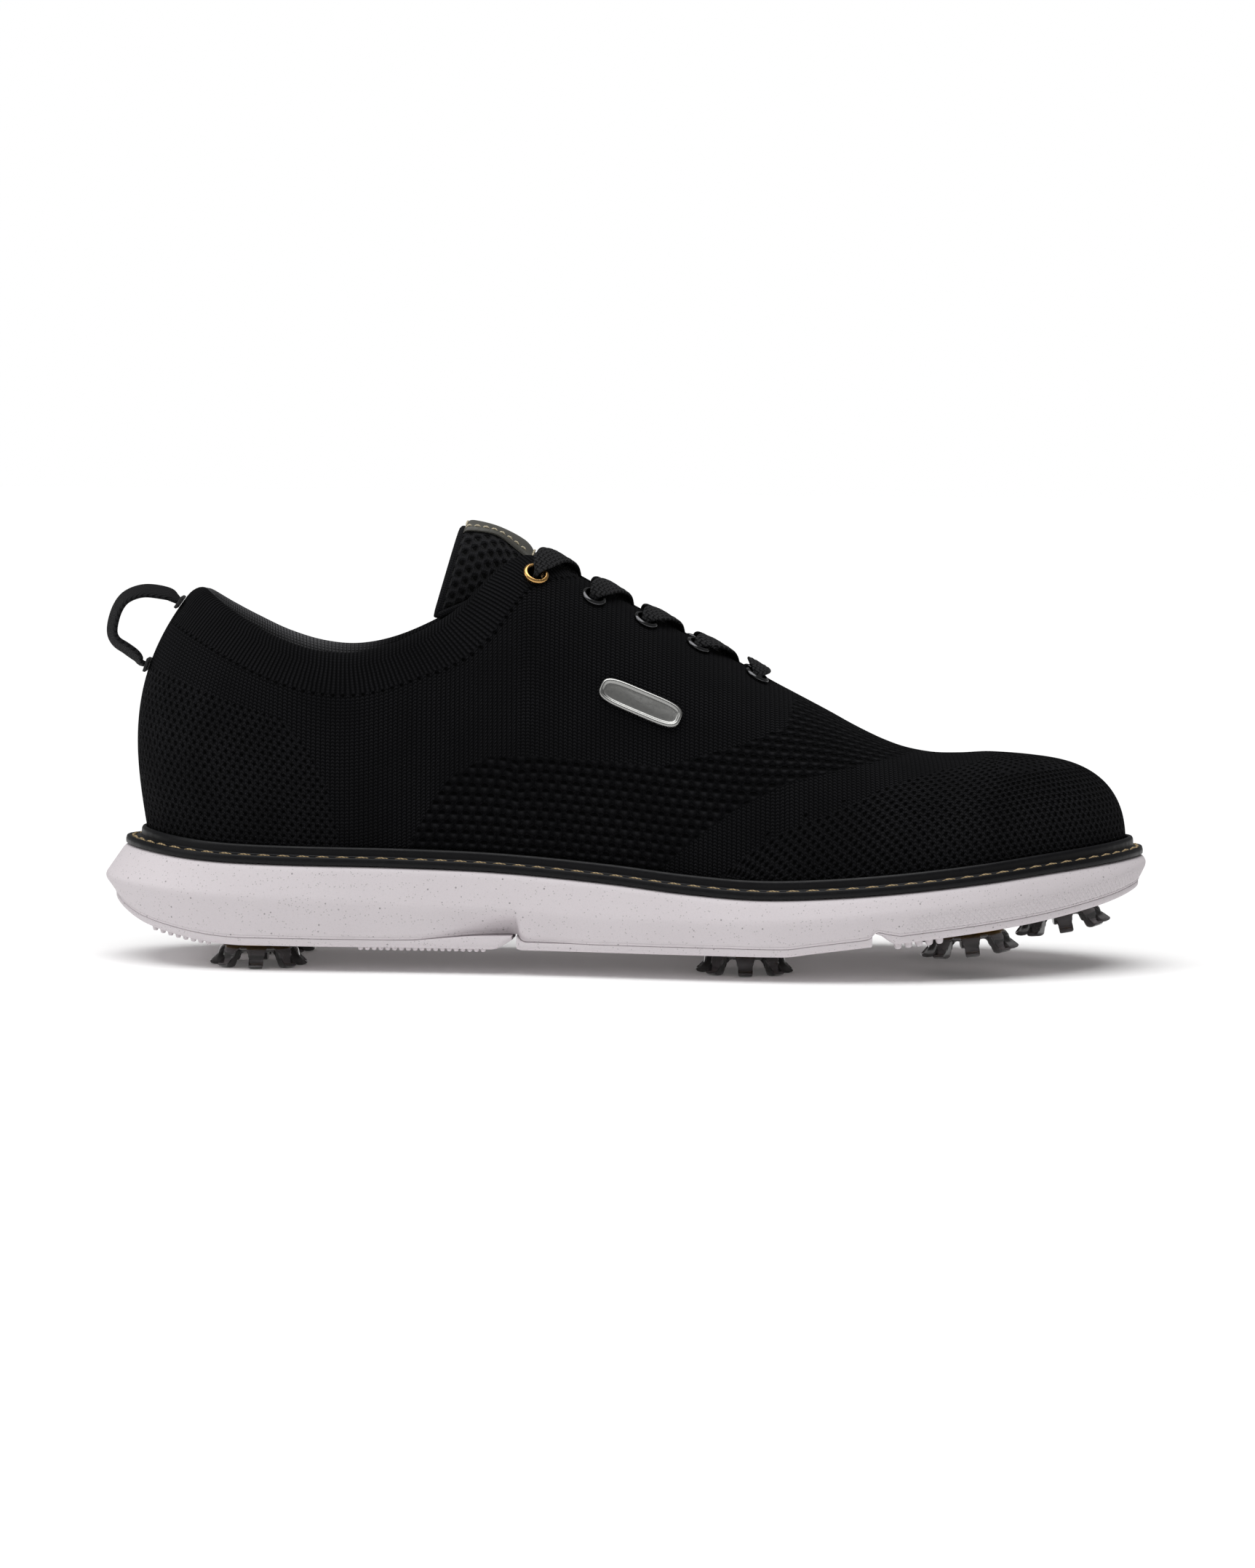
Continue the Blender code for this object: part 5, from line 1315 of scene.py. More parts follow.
def cleat_seat(x, y):
    """Where a cleat's axis meets the pad's face, and the axis, pointing up into the sole."""
    slope = (smooth(SOLE_BOTTOM, x + 4) - smooth(SOLE_BOTTOM, x - 4)) / 8
    slope = slope if slope > 0.03 else 0.0
    return Vector((x, y, smooth(SOLE_BOTTOM, x))), Vector((-slope, 0, 1)).normalized()


STITCH_LINE = 0.70  # share of the welt's width at which the stitches run
WELT_RING = ring_of(stations((0, TOE_SHARE, 50), (TOE_SHARE, HEEL_SHARE, 250), (HEEL_SHARE, 1, 50)))


def stitch_point(side, q):
    """Where the stitch line crosses the welt's top."""
    x = station_x(q)
    edge, out = edge_point(side, x)
    at = edge + out * (smooth(WELT_EDGE, station_key(q)) * STITCH_LINE)
    return np.array((at.x, at.y, smooth(SOLE_TOP, x) + WELT_THICK))


def make_welt_body(finish):
    """The welt: a flat strip with a stitching groove, and a rolled bead against the upper."""
    rings, radii = [], (0.2, 0.35, 0.45, 0.2, 0.25, 0.2, 0.35, 0.75, 0.6, 0.3)
    for side, q in WELT_RING:
        x = station_x(q)
        edge, out = edge_point(side, x)
        level, width = smooth(SOLE_TOP, x), smooth(WELT_EDGE, station_key(q))
        corners = [
            (0.5, GAP), (width + 0.1, GAP), (width + 0.15, WELT_THICK * 0.6), (width - 0.2, WELT_THICK + 0.2),
            (width * 0.86, WELT_THICK + 0.2), (width * STITCH_LINE, WELT_THICK - 0.45),
            (width * 0.56, WELT_THICK + 0.15), (2.25, WELT_THICK + 0.3), (2.15, BEAD_HEIGHT - 0.7),
            (1.5, BEAD_HEIGHT), (0.75, BEAD_HEIGHT - 0.3), (0.5, GAP),
        ]
        rings.append(side_points(edge, out, rounded(corners, radii, 4)[:-1], level))
    made = tubed("welt_body", rings, finish, closed_path=True, angle=45)
    piece(made, "shoe", "black_welt", "storm_welt")


STITCH_PITCH, STITCH_LENGTH, STITCH_RADIUS = 5.6, 4.9, 0.42
STITCH_POINTS, STITCH_SINK, STITCH_RISE = 11, 0.75, 0.80


PLIES, PLY_TURNS, PLY_DEPTH = 2, 1.3, 0.16


def twisted(path, outward, radius, sides):
    """A thread of twisted plies along a path; outward is the direction away from the face."""
    rings, maps = [], []
    for k, at in enumerate(path):
        over, across = facing(path, k, outward)
        s = k / (len(path) - 1)
        size = radius * math.sin(math.pi * clamp(s, 0.07, 0.93)) ** 0.35
        ring = []
        for j in range(sides):
            a = 2 * math.pi * j / sides
            lobed = 1 + PLY_DEPTH * math.cos(PLIES * (a - PLY_TURNS * 2 * math.pi * s))
            ring.append(Vector(at) + (across * math.cos(a) + over * math.sin(a)) * size * lobed)
            maps.append((j / sides * 2, s * 4))
        rings.append(ring)
    return tube(rings), maps


def make_stitches(name, paths, outward, radius, finish, body, slot, *nodes, sides=10):
    """A row of separate stitches: each path is one, dipping into the face at both ends."""
    parts, maps = [], []
    for path, away in zip(paths, outward):
        part, uv = twisted(path, away, radius, sides)
        parts.append(part)
        maps += uv
    points, faces = merged(parts)
    made = build(name, points, faces, finish, {"weave": grid_uv(faces, maps)}, merge=False)
    piece(made, body, slot, *nodes)


def make_welt_stitches(finish):
    line = np.array([stitch_point(side, q) for side, q in WELT_RING + WELT_RING[:1]])
    along = lengths(line)
    count = int(round(along[-1] / STITCH_PITCH))
    pitch = along[-1] / count
    share = np.linspace(0, 1, STITCH_POINTS)
    lift = [STITCH_RISE * math.sin(math.pi * s) ** 0.32 - STITCH_SINK for s in share]
    paths = []
    for n in range(count):
        path = read_along((n + 0.5) * pitch + (share - 0.5) * STITCH_LENGTH, along, line)
        path[:, 2] += lift
        paths.append(path)
    make_stitches("welt_stitches", paths, [(0, 0, 1)] * count, STITCH_RADIUS, finish, "shoe", "tan_thread",
                  "welt_thread")


# ================================================================ cleats and their sockets
def lathe(name, profile, radii, at, axis, finish, segments=64, angle=35, steps=4):
    """A turned piece: its closed profile of (radius, height), with rounded corners, about an axis."""
    line, put = rounded([*profile, profile[0]], radii, steps)[:-1], upright(at, axis)
    rings = [[put(r * c, r * s, z) for r, z in line] for c, s in oval(segments)]
    return tubed(name, rings, finish, closed_path=True, angle=angle)


def make_receptacle(name, finish):
    at, axis = cleat_seat(*CLEATS[name])
    profile = [
        (BORE_RADIUS, 0.0), (BORE_RADIUS, SOCKET_DEPTH), (SOCKET_RADIUS, SOCKET_DEPTH), (SOCKET_RADIUS, -0.1),
        (FLANGE_RADIUS, -0.1), (FLANGE_RADIUS, -FLANGE[1]), (BORE_RADIUS + 0.4, -FLANGE[1]),
    ]
    made = lathe("socket_" + name, profile, (0.3, 0.5, 0.2, 0.3, 0.25, 0.2), at, axis, finish)
    piece(made, "shoe", "amber_receptacle", "receptacle_" + name)


LEG_TOP, LEG_TIP = 18.5, 9.8  # half of the angle that a leg takes up at its root and at its tip
LEG_STEPS = (0, 3.5, 6, 7.4, 8.4, 9.2, 10, 10.8, 11.6, 12.6, 13.6, 14.6, 15.6, 16.6, 17.6, 18.6, 20, 22.5)
SPIKE_TOP, SPIKE_TIP = -FLANGE[1] - GAP, -CLEAT_HEIGHT
STUD = [(0.02, 3.4), (STUD_RADIUS - 0.4, 3.4), (STUD_RADIUS, 3.0), (STUD_RADIUS, SPIKE_TOP), (8.9, SPIKE_TOP)]
# the rest of each profile: radius, and height under SPIKE_TOP or, for a leg's hook, over SPIKE_TIP
LEG_BACK = [(9.7, 0.15), (10.7, 0.75), (11.35, 1.7), (11.6, 2.7)]
LEG_HOOK = [(11.8, 2.4), (12.3, 1.6), (13.2, 1.25), (13.9, 1.05), (14.0, 0.75), (13.6, 0.35), (12.6, 0.05),
            (11.4, 0), (10.5, 0.25), (9.9, 1.0), (9.5, 2.2)]
LEG_FRONT = [(9.0, 2.6), (8.2, 2.0), (6.0, 1.8), (3.0, 2.6), (0.02, 2.7)]
ARCH = [(9.6, 0.1), (10.0, 0.35), (10.15, 0.6), (10.2, 0.8), (10.2, 0.95), (10.15, 1.1), (10.1, 1.2),
        (10.0, 1.3), (9.9, 1.38), (9.8, 1.45), (9.7, 1.5), (9.5, 1.55), (9.3, 1.6), (9.1, 1.62), (8.9, 1.65),
        (8.5, 1.7), (8.0, 1.75), (6.0, 1.8), (3.0, 2.6), (0.02, 2.7)]


def under_top(rows):
    return [(radius, SPIKE_TOP - down) for radius, down in rows]


def cleat_points():
    """Columns round the spike's axis: legs that hook outward, with round arches between them."""
    hook = [(radius, SPIKE_TIP + up) for radius, up in LEG_HOOK]
    leg = STUD + under_top(LEG_BACK) + hook + under_top(LEG_FRONT)
    gap = STUD + under_top(ARCH)
    share = 360 / CLEAT_LEGS
    steps = [*LEG_STEPS, *(share - s for s in LEG_STEPS[-2:0:-1])]
    rings = []
    for k in range(CLEAT_LEGS * len(steps)):
        step = steps[k % len(steps)]
        off = min(step, share - step)
        angle = math.radians(step + k // len(steps) * share)
        ring = []
        for (ra, za), (rb, zb) in zip(gap, leg):
            deep = clamp((SPIKE_TOP - zb) / (SPIKE_TOP - SPIKE_TIP))
            half = LEG_TOP + (LEG_TIP - LEG_TOP) * min(deep * 1.25, 1) ** 0.8
            w = eased(clamp((half - off) / 3.4 + 0.5))
            r, z = ra + (rb - ra) * w, za + (zb - za) * w
            ring.append((r * math.cos(angle), r * math.sin(angle), z))
        rings.append(ring)
    return rings


def make_cleat(name, rings, finish):
    put = upright(*cleat_seat(*CLEATS[name]))
    placed = [[put(*p) for p in ring] for ring in rings]
    made = tubed("spike_" + name, placed, finish, closed_path=True, angle=60)
    piece(made, "cleat_" + name, "smoke_tpu", "cleat_" + name)


# ================================================================ tongue
def tongue_rows(depth, turns):
    """Rows of points across the tongue at a depth under its top face."""
    rows = []
    for x, half, sink, crown in TONGUE_LAID:
        rows.append([
            instep(x, half * math.sin(turn * 0.98),
                   TONGUE_TOP + sink * math.sin(turn) ** 2 - crown * math.cos(turn) ** 4 + depth)[0]
            for turn in turns
        ])
    for x, z, half, drop in TONGUE_FREE:
        row = []
        for turn in turns:
            low = drop * (1 - math.cos(turn)) ** 1.5 + 7 * max(abs(turn) / math.pi * 2 - 0.6, 0) ** 1.2
            at = Vector((x, half * math.sin(turn), z)) + TONGUE_LEAN * low
            inward = Vector((0, -math.sin(turn) * drop, 0)) + TONGUE_LEAN * math.cos(turn) * half
            row.append(at + inward.normalized() * depth)
        rows.append(row)
    return rows


def finer(rows, steps):
    """Rows with smooth ones put in between, as an array of rows by columns."""
    columns = [path_through(list(column), steps) for column in zip(*rows)]
    return np.array([[tuple(p) for p in column] for column in columns]).transpose(1, 0, 2)


def sheet_uv(grid):
    """Lengths across and along a grid of rows by columns, measured from its middle column."""
    middle = grid.shape[1] // 2
    across = np.zeros(grid.shape[:2])
    across[:, 1:] = np.linalg.norm(np.diff(grid, axis=1), axis=2).cumsum(1)
    across -= across[:, middle:middle + 1]
    return np.stack([across, np.repeat(lengths(grid[:, middle])[:, None], grid.shape[1], 1)], 2)


TONGUE_SIDES, TONGUE_STEPS = 40, 7
TONGUE_TURNS = [math.pi * (k / TONGUE_SIDES - 0.5) for k in range(TONGUE_SIDES + 1)]
BOUND_FROM = 5            # the row of TONGUE_LAID from which the edge is bound
BINDING_SIDES, BINDING_SIZE = 14, (1.72, 1.35)
LABEL_TURN, LABEL_THICK = 0.2 * math.pi, 0.95
LABEL_INSET = 3           # columns and rows from the patch's edge in to its stitches
LABEL_STITCH, LABEL_STEP = 8, 10  # points in a stitch, and from one to the next


def make_tongue(finishes):
    """The padded tongue, its bound edge, and the leather patch with its stitches."""
    top, middle, under = (finer(tongue_rows(depth, TONGUE_TURNS), TONGUE_STEPS)
                          for depth in (0, TONGUE_THICK / 2, TONGUE_THICK))
    swell = [middle[:, k] + unit(middle[:, k] - middle[:, n]) * 0.7 for k, n in ((-1, -2), (0, 1))]
    rings = np.concatenate([top, swell[0][:, None], under[:, ::-1], swell[1][:, None]], 1)
    uv = sheet_uv(top)
    wrap = np.concatenate([uv, uv[:, -1:], uv[:, ::-1], uv[:, :1]], 1).reshape(-1, 2)
    made = tubed("tongue_pad", rings, finishes["mesh"], wrap, angle=70)
    piece(made, "tongue_flap", "black_knit", "tongue", padded=0.4)

    bound = range(TONGUE_STEPS * BOUND_FROM, len(middle))
    edge = [(k, 0) for k in bound] + [(-1, k) for k in range(1, TONGUE_SIDES)]
    edge += [(k, -1) for k in bound[::-1]]
    faced = unit(np.array([top[spot] - under[spot] for spot in edge]))
    even, along = resample(np.concatenate([[middle[spot] for spot in edge], faced], 1), 1.0)
    rings, maps = [], []
    for k, row in enumerate(even):
        face, side = facing(even[:, :3], k, row[3:])
        at, (high, wide) = Vector(row[:3]), BINDING_SIZE
        corners = oval(BINDING_SIDES, 0.8, 0.8)
        rings.append([at + face * over * high + side * across * wide for across, over in corners])
        maps += [(j / BINDING_SIDES * 9, along[k]) for j in range(BINDING_SIDES)]
    piece(tubed("tongue_binding", rings, finishes["binding"], maps, angle=70), "tongue_flap", "black_knit")
    make_label(finishes)


def label_sheet(lift):
    """The patch at a height over the tongue, bent with it."""
    rows = tongue_rows(lift, np.linspace(-LABEL_TURN, LABEL_TURN, 33))
    low = [a.lerp(b, 0.35) for a, b in zip(rows[-5], rows[-4])]
    high = [a.lerp(b, 0.9) for a, b in zip(rows[-2], rows[-1])]
    return finer([low, *rows[-4:-1], high], 10)


def make_label(finishes):
    """The leather patch on the tongue, thinned towards its edge, with its stitches in a channel."""
    base, face = label_sheet(-GAP), label_sheet(-GAP - LABEL_THICK)
    rows, columns = face.shape[:2]
    across, along = (np.minimum(np.arange(count), np.arange(count)[::-1]) * step
                     for count, step in ((columns, 0.55), (rows, 0.45)))
    inside = np.minimum(across[None, :], along[:, None])
    soft = np.clip(inside / 0.9, 0, 1)[..., None]
    channel = np.exp(-((inside - 1.7) / 0.45) ** 2)[..., None] * 0.18
    face = base + (face - base) * (0.55 + 0.45 * np.sqrt(soft) - channel)
    made = layered("label_patch", face, base, finishes["leather"], sheet_uv(face), angle=60)
    piece(made, "tongue_flap", "label_leather", "tongue_label")

    normal = unit(face[rows // 2, columns // 2] - base[rows // 2, columns // 2])
    sewn = face[LABEL_INSET:rows - LABEL_INSET, LABEL_INSET:columns - LABEL_INSET]
    rise = np.sin(np.linspace(0, math.pi, LABEL_STITCH)) ** 0.6 * 0.38 - 0.1
    paths = []
    for side in (sewn[0], sewn[:, -1], sewn[-1, ::-1], sewn[::-1, 0]):
        even, _ = resample(side, 0.25)
        paths += [even[n:n + LABEL_STITCH] + normal * rise[:, None]
                  for n in range(1, len(even) - LABEL_STITCH, LABEL_STEP)]
    make_stitches("label_stitches", paths, [normal] * len(paths), 0.3, finishes["cream"], "tongue_flap",
                  "tan_thread", sides=8)


# ================================================================ eyelets and lace
def make_eyelet(name, x, y, finish, slot):
    at, normal = instep(x, y)
    profile = [
        (EYELET_BORE, 1.0), (2.95, 1.45), (EYELET_FLANGE, 0.9), (EYELET_FLANGE, 0.42),
        (EYELET_BARREL, 0.42), (EYELET_BARREL, 0.4 - KNIT), (EYELET_BORE, 0.4 - KNIT),
    ]
    made = lathe("grommet_" + name, profile, (0.5, 0.7, 0.3, 0.1, 0.1, 0.1), at, normal, finish, 48, 40, 5)
    piece(made, "shoe", slot, "eyelet_" + name)


class LaceStop:
    """One control point of the lace: where, which way its face looks, and its share of full width."""

    def __init__(self, at, face, share):
        self.at, self.row = at, (*face, share)


def over_instep(x, y, lift, share, flip):
    at, normal = instep(x, y, depth=-lift)
    return LaceStop(at, normal * flip, share)


def bore_stops(x, y, inbound, outbound, flip):
    """Down through an eyelet: inbound and outbound are the plan directions above and below it."""
    _, normal = instep(x, y)
    turn = (Vector((*inbound, 0)).normalized() - Vector((*outbound, 0)).normalized()).normalized()
    face = (turn - normal * turn.dot(normal)).normalized() * flip
    return [LaceStop(instep(x, y, depth=-lift)[0], face, 0) for lift in (1.2, -0.2, -1.7)]


def crossing(near, far, over, flip):
    """One strand: from under one eyelet, up through the throat, to over the far one of the next row.
    At each crossing the strand that goes to the lateral side lies on top."""
    (xa, ya), (xb, yb) = near, far
    side = 1 if yb > 0 else -1
    run = xa - xb
    edge = smooth(FACING_EDGE, xa - 0.3 * run)
    lift = 1.9 if over else 0.0
    rows = [
        (xa - 0.05 * run, ya * 0.93, -3.0, 0.2),
        (xa - 0.10 * run, ya * 0.78, -3.15, 0.6),
        (xa - 0.17 * run, -side * (edge + 3.2), -3.15, 0.9),
        (xa - 0.30 * run, -side * edge * 0.7, -2.75, 1),
        (xa - 0.46 * run, -side * edge * 0.15, -0.9 + lift * 0.9, 1),
        (xa - 0.60 * run, yb * 0.28, 0.6 + lift * 0.8, 1),
        (xa - 0.76 * run, yb * 0.56, 2.0 + lift * 0.2, 1),
        (xa - 0.90 * run, yb * 0.80, 2.3, 0.8),
        (xa - 0.965 * run, yb * 0.93, 2.2, 0.3),
    ]
    return [over_instep(*row, flip) for row in rows]


def lace_half(start):
    """Half of the lace, from the middle of the bar at the toe end to the tucked-away tip."""
    side, flip = start, 1
    x, half = EYELETS[0]
    stops = [over_instep(x, side * share * half, lift, width, flip)
             for share, lift, width in ((0.3, 2.3, 1), (0.62, 2.4, 0.95), (0.85, 2.2, 0.4))]
    inbound = (0, side)
    for (x, half), (next_x, next_half) in zip(EYELETS, EYELETS[1:]):
        outbound = (0.35 * (next_x - x), -side * half)
        stops += bore_stops(x, side * half, inbound, outbound, flip)
        flip = -flip
        stops += crossing((x, side * half), (next_x, -side * next_half), side == MEDIAL, flip)
        inbound = (0.3 * (next_x - x), -side * next_half)
        side = -side
    x, half = EYELETS[-1]
    stops += bore_stops(x, side * half, inbound, (0.01, side), flip)
    return stops + tucked_tail(side, -flip)


def tucked_tail(side, flip):
    """From under the last eyelet down the inside of the quarter, then forward on the footbed."""
    x, half = EYELETS[-1]
    at, normal = instep(x, side * half, depth=3.2)
    stops = [LaceStop(at, quarter(side, x, 104)[1] * flip, 0.1)]
    for across, height, depth, share in ((x, 104.5, 4.4, 0.4), (x, 97, 4.0, 1), (x, 80, 3.7, 1),
                                         (x + 3, 62, 3.6, 1), (x + 10, 48, 4.4, 1)):
        at, normal = quarter(side, across, height, depth)
        stops.append(LaceStop(at, normal * flip, share))
    for across, lift in ((x + 22, 8.6), (x + 36, 8.0), (x + 50, 8.0), (x + 66, 8.2), (x + 80, 8.2)):
        edge, out = edge_point(side, across)
        inset = edge - out * (9.5 if lift > 8.3 else 12.5)
        at = Vector((inset.x, inset.y, smooth(SOLE_TOP, across) + lift))
        stops.append(LaceStop(at, Vector((0, 0, -flip)), 0.02 if across > x + 60 else 1))
    return stops


def lace_stops():
    lateral, medial = lace_half(LATERAL), lace_half(MEDIAL)
    middle = over_instep(EYELETS[0][0], 0, 2.3, 1, 1)
    return list(reversed(lateral)) + [middle] + medial


LACE_STEPS, LACE_SIDES = 10, 44
LACE_SPREAD = 1.0         # how much wider than its CAD strip the lace is drawn
LACE_RIBS, LACE_RIB_DEPTH = 2.75, 0.24
LACE_PASSES = 24          # smoothing where the flat lace turns edgewise


def make_lace(finish):
    """The lace, a flat woven cord with lengthwise ribs, bunched where it passes an eyelet."""
    stops = lace_stops()
    line = np.array([tuple(p) for p in path_through([stop.at for stop in stops], LACE_STEPS)])
    extra = read_along(np.arange(len(line)) / LACE_STEPS, range(len(stops)), np.array([s.row for s in stops]))
    even, along = resample(np.concatenate([line, extra], 1), 0.8)
    wide = np.clip(even[:, 6] * 1.35, 0, 1)
    rings, maps = [], []
    for k, (row, share) in enumerate(zip(even, wide)):
        face, across = facing(even[:, :3], k, row[3:6], 3)
        width = LACE_BUNCH[0] + (LACE_WIDTH + LACE_SPREAD - LACE_BUNCH[0]) * share
        thick = LACE_BUNCH[1] + (LACE_THICK - LACE_BUNCH[1]) * share
        ring = []
        for u, v in oval(LACE_SIDES, 0.6, 0.62):
            rib = 0.5 - 0.5 * math.cos(2 * math.pi * LACE_RIBS * (u + 1))
            ridge = 1 - LACE_RIB_DEPTH * rib * (1 - u**8)
            ring.append(Vector(row[:3]) + across * (u * width / 2) + face * (v * ridge * thick / 2))
            maps.append((u * width / 2, along[k]))
        rings.append(ring)
    rings = np.array([[tuple(p) for p in ring] for ring in rings])
    ease = 0.5 * np.convolve(wide, np.ones(5) / 5, "same")[1:-1, None, None]
    for _ in range(LACE_PASSES):
        rings[1:-1] += ((rings[:-2] + rings[2:]) / 2 - rings[1:-1]) * ease
    made = tubed("lace_cord", rings, finish, maps, angle=80)
    piece(made, "shoe", "black_lace", "lace")


# ================================================================ pull loop and emblem
LOOP_TWIST, LOOP_SIDES = 16.0, 28
LOOP_FLARE = 16           # points of the path over which the loop widens from each end
LOOP_ROOT = 5             # a length out from the middle of the loop's two ends; the point that it gives is not kept
SIDEWAYS = Vector((0, 1, 0))


def make_pull_loop(finish):
    """The webbing loop on the heel, narrower and less twisted towards its two sewn ends."""
    ends = [[at + normal * off for off in (0.7, LOOP_STAND)]
            for at, normal in (wall(LATERAL, 1.0, arc_at_height(Rib(LATERAL, 1.0), z)) for z in LOOP_TABS)]
    stops = ends[0] + [Vector((x, 0, z)) for x, z in LOOP_PATH] + ends[1][::-1]
    line = path_through(stops, 6)
    rings, maps, along = [], [], 0
    thick = LOOP_THICK / 2
    for k, at in enumerate(line):
        run = (line[min(k + 1, len(line) - 1)] - line[max(k - 1, 0)]).normalized()
        face = SIDEWAYS.cross(run)
        flare = math.sin(math.pi / 2 * min(min(k, len(line) - 1 - k) / LOOP_FLARE, 1))
        half = LOOP_WIDTH / 2 * (0.72 + 0.28 * flare)
        twist = math.radians(LOOP_TWIST * flare * (0.8 + 0.5 * k / len(line)))
        side = SIDEWAYS * math.cos(twist) + face * math.sin(twist)
        face = face * math.cos(twist) - SIDEWAYS * math.sin(twist)
        along += (at - line[max(k - 1, 0)]).length
        ring = []
        for u, v in oval(LOOP_SIDES, 0.5, 0.7):
            hem = 1 + 0.12 * math.exp(-((abs(u) - 0.86) / 0.1) ** 2)
            ring.append(at + side * (u * half) + face * (v * thick * hem))
            maps.append((u * half, along))
        rings.append(ring)
    made = tubed("loop_webbing", rings, finish, maps, angle=80)
    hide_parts("pull_loop")
    low, high = ends[1][1], ends[0][1]
    middle, axis = (low + high) / 2, (high - low).normalized()
    away = Vector((-axis.z, 0, axis.x))
    tuple(middle * MM)
    tuple((middle + away * LOOP_ROOT) * MM)
    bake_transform(made)


EMBLEM_SIDES = 96
# (how far in from the plate's outline, height over the knit), from the back to the face inside the border
EMBLEM_BORDER = [
    (2.2, GAP), (0.0, GAP), (0.0, 1.15), (0.1, 1.45), (0.3, 1.68), (0.55, 1.78), (0.8, 1.75), (1.0, 1.6),
    (1.15, 1.35), (1.3, 1.24), (1.6, 1.22), (2.2, 1.24),
]


def make_emblem(finish):
    """A plain bordered plate on the lateral quarter, curved to the knit behind it."""
    (cx, cz), length, height, tilt = EMBLEM
    cos, sin = math.cos(math.radians(tilt)), math.sin(math.radians(tilt))
    sizes = [(max(length / 2 - inset, 0), max(height / 2 - inset, 0), lift) for inset, lift in EMBLEM_BORDER]
    centre = (0.02, 0.004)
    rings = []
    for half_u, half_v, lift in [(*centre, GAP), *sizes, (*centre, 1.3)]:
        ring = []
        for u, v in oval(EMBLEM_SIDES, 0.42, 0.62):
            along, over = u * half_u, v * half_v
            x, z = cx + along * cos - over * sin, cz + along * sin + over * cos
            ring.append(quarter(LATERAL, x, z, depth=-lift)[0])
        rings.append(ring)
    made = tubed("badge_plate", rings, finish, angle=50)
    piece(made, "shoe", "badge_metal", "emblem")


# ================================================================ assembly
def make_looks():
    return {
        "knit": knit_finish(),
        "mesh": coarse_mesh_finish(),
        "sole": foam_finish(),
        "binding": cloth_finish("tongue_binding_knit", (0.008, 0.008, 0.009), (0.016, 0.016, 0.018), 0.9,
                                0.2),
        "lining": cloth_finish("lining_cloth", (0.014, 0.014, 0.015), (0.03, 0.03, 0.032), 1.3, 0.25),
        "insole": cloth_finish("insole_cloth", (0.016, 0.016, 0.017), (0.035, 0.035, 0.038), 1.0, 0.2),
        "lace": cloth_finish("lace_weave", (0.004, 0.004, 0.0045), (0.034, 0.034, 0.036), 1.25, 0.50,
                             roughness=0.85, specular=0.08, weave="basket"),
        "webbing": cloth_finish("grosgrain", (0.004, 0.004, 0.0045), (0.024, 0.024, 0.026), 1.0, 0.40,
                                roughness=0.85, specular=0.08, weave="twill"),
        "thread": thread_finish("waxed_thread", (0.42, 0.31, 0.165), (0.08, 0.05, 0.02)),
        "cream": thread_finish("cream_thread", (0.62, 0.55, 0.40), (0.30, 0.25, 0.16)),
        "gold": metal_finish("gold_plate", (0.62, 0.36, 0.13), 0.22),
        "steel": metal_finish("black_nickel", (0.07, 0.07, 0.073), 0.16),
        "foam": plain_finish("open_cell_foam", (0.05, 0.05, 0.055), 0.9, 900, 0.3),
        "welt": plain_finish("moulded_welt", (0.0026, 0.0026, 0.0036), 0.42, 500, 0.05,
                             specular_ior_level=0.22),
        "leather": plain_finish("patch_leather", (0.075, 0.073, 0.064), 0.5, 1600, 0.10, shade=0.75,
                                specular_ior_level=0.35),
        "amber": plain_finish("amber_polymer", (0.42, 0.23, 0.05), 0.32, 600, 0.04),
        "smoke": plain_finish("smoke_polymer", (0.036, 0.034, 0.0335), 0.2, 400, 0.03, coat_weight=0.8,
                              coat_roughness=0.12, specular_ior_level=0.6),
        "badge": plain_finish("satin_plate", (0.34, 0.34, 0.33), 0.3, 1500, 0.005, shade=0.94, metallic=1.0,
                              spread=0.03),
        "stiffener": plain_finish("stiffener_board", (0.45, 0.40, 0.33), 0.75, 1200, 0.12),
        "board": plain_finish("strobel_fabric", (0.55, 0.53, 0.47), 0.85, 1500, 0.15),
        "shank": plain_finish("filled_nylon", (0.06, 0.06, 0.06), 0.4, 800, 0.04),
        "aglet": plain_finish("aglet_film", (0.016, 0.016, 0.016), 0.25, 500, 0.03, coat_weight=0.3),
        "tab": plain_finish("tab_webbing", (0.008, 0.008, 0.009), 0.8, 2500, 0.25, shade=0.6),
    }


def keep(finish, nodes):
    """CAD nodes that stay as they are, with a better material."""
    for node in nodes:
        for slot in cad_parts[node].material_slots:
            slot.material = finish.material


CAMERA_LENS, CAMERA_SENSOR, CAMERA_CLIP = 118.99, 36, (0.1, 50)
CAMERA_AT, CAMERA_AIM, CAMERA_ROLL = Vector((0, -1.4954, 0.1693)), Vector((0, 0, 0.0516)), 0.684
WORLD_LIGHT = 0.2         # of the white that the camera sees behind the shoe
FLOOR_SIZE, FLOOR_ALBEDO, FLOOR_GLOW = 6.0, 0.93, 0.06


def add(name, data, place=None, aim=None, roll=0.0):
    """A new object in the scene; a lamp or camera looks from its place at another."""
    made = bpy.data.objects.new(name, data)
    if aim is not None:
        turn = (Vector(aim) - Vector(place)).to_track_quat("-Z", "Y").to_matrix().to_4x4()
        made.matrix_world = Matrix.Translation(place) @ turn @ Matrix.Rotation(math.radians(roll), 4, "Z")
    bpy.context.scene.collection.objects.link(made)
    return made


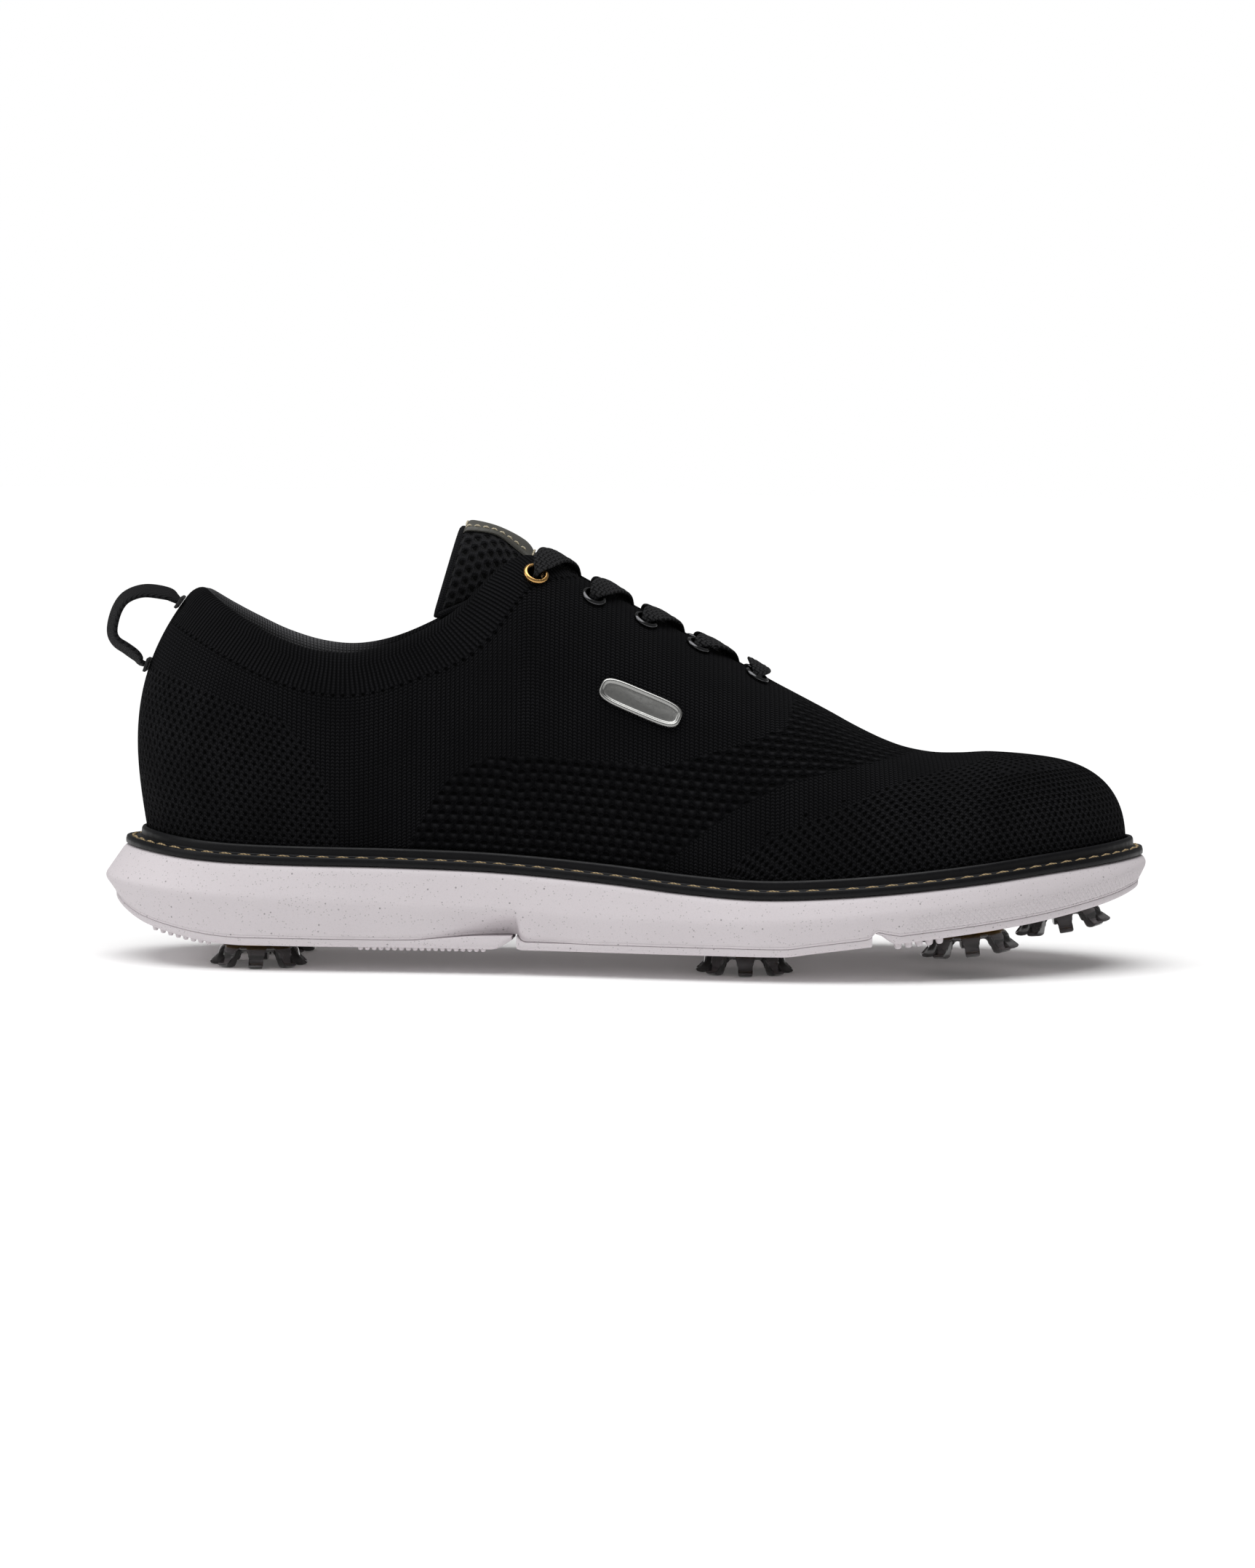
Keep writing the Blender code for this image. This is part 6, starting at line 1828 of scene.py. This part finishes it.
def make_floor():
    mesh = bpy.data.meshes.new("floor")
    corners = [(-1, -1), (1, -1), (1, 1), (-1, 1)]
    mesh.from_pydata([(x * FLOOR_SIZE, y * FLOOR_SIZE, 0) for x, y in corners], [], [(0, 1, 2, 3)])
    made = plain_finish("pale_floor", [FLOOR_ALBEDO] * 3, 0.8, 20, 0.0, shade=0.99, specular_ior_level=0.1)
    made.shader.inputs["Emission Color"].default_value = (1, 0.97, 0.95, 1)
    made.shader.inputs["Emission Strength"].default_value = FLOOR_GLOW
    mesh.materials.append(made.material)
    add("floor", mesh)


def make_studio():
    scene = bpy.context.scene
    scene.view_settings.view_transform = "Standard"
    camera = bpy.data.cameras.new("camera")
    camera.lens, camera.sensor_width = CAMERA_LENS, CAMERA_SENSOR
    camera.clip_start, camera.clip_end = CAMERA_CLIP
    scene.camera = add("camera", camera, CAMERA_AT, CAMERA_AIM, CAMERA_ROLL)

    world = bpy.data.worlds.new("studio")
    world.use_nodes = True
    scene.world = world
    tree = world.node_tree
    back = tree.nodes["Background"]
    back.inputs["Color"].default_value = (1, 1, 1, 1)
    path = tree.nodes.new("ShaderNodeLightPath")
    level = tree.nodes.new("ShaderNodeMapRange")
    level.inputs["To Min"].default_value, level.inputs["To Max"].default_value = WORLD_LIGHT, 1.0
    tree.links.new(path.outputs["Is Camera Ray"], level.inputs["Value"])
    tree.links.new(level.outputs[0], back.inputs["Strength"])

    make_floor()
    overhead = bpy.data.lights.new("overhead", "SUN")
    overhead.energy, overhead.angle = 2.8, math.radians(60)
    add("overhead", overhead, (-0.2, -0.4, 2), (0, 0, 0))
    soft = bpy.data.lights.new("left_soft", "AREA")
    soft.energy, soft.shape, soft.size, soft.size_y = 4, "RECTANGLE", 1.0, 0.8
    add("left_soft", soft, (-1.5, -0.6, 0.9), (-0.05, 0, 0.06))


def main():
    looks = make_looks()
    make_studio()
    make_knit_upper(looks["knit"])
    make_inner_layers(looks)
    make_insole(looks["insole"])
    make_midsole_body(looks["sole"])
    make_pad("outsole_heel", -200, ARCH_GAP[0], looks["sole"])
    make_pad("outsole_ball", ARCH_GAP[1], FLEX_GAP[0], looks["sole"])
    make_pad("outsole_toe", 69.9, 200, looks["sole"])
    make_welt_body(looks["welt"])
    make_welt_stitches(looks["thread"])
    spike = cleat_points()
    for name in CLEATS:
        make_receptacle(name, looks["amber"])
        make_cleat(name, spike, looks["smoke"])
    make_tongue(looks)
    for row, (x, half) in enumerate(EYELETS):
        look, slot = ("gold", "gold_eyelet") if row == len(EYELETS) - 1 else ("steel", "steel_eyelet")
        for side, word in ((LATERAL, "lateral"), (MEDIAL, "medial")):
            make_eyelet(f"{word}_{row + 1}", x, side * half, looks[look], slot)
    make_lace(looks["lace"])
    make_pull_loop(looks["webbing"])
    make_emblem(looks["badge"])
    for look, nodes in (
        ("stiffener", ("heel_counter", "toe_puff")), ("board", ("strobel_board",)), ("shank", ("shank",)),
        ("aglet", ("aglet_lateral", "aglet_medial")), ("tab", ("loop_tab_upper", "loop_tab_lower")),
    ):
        keep(looks[look], nodes)


main()
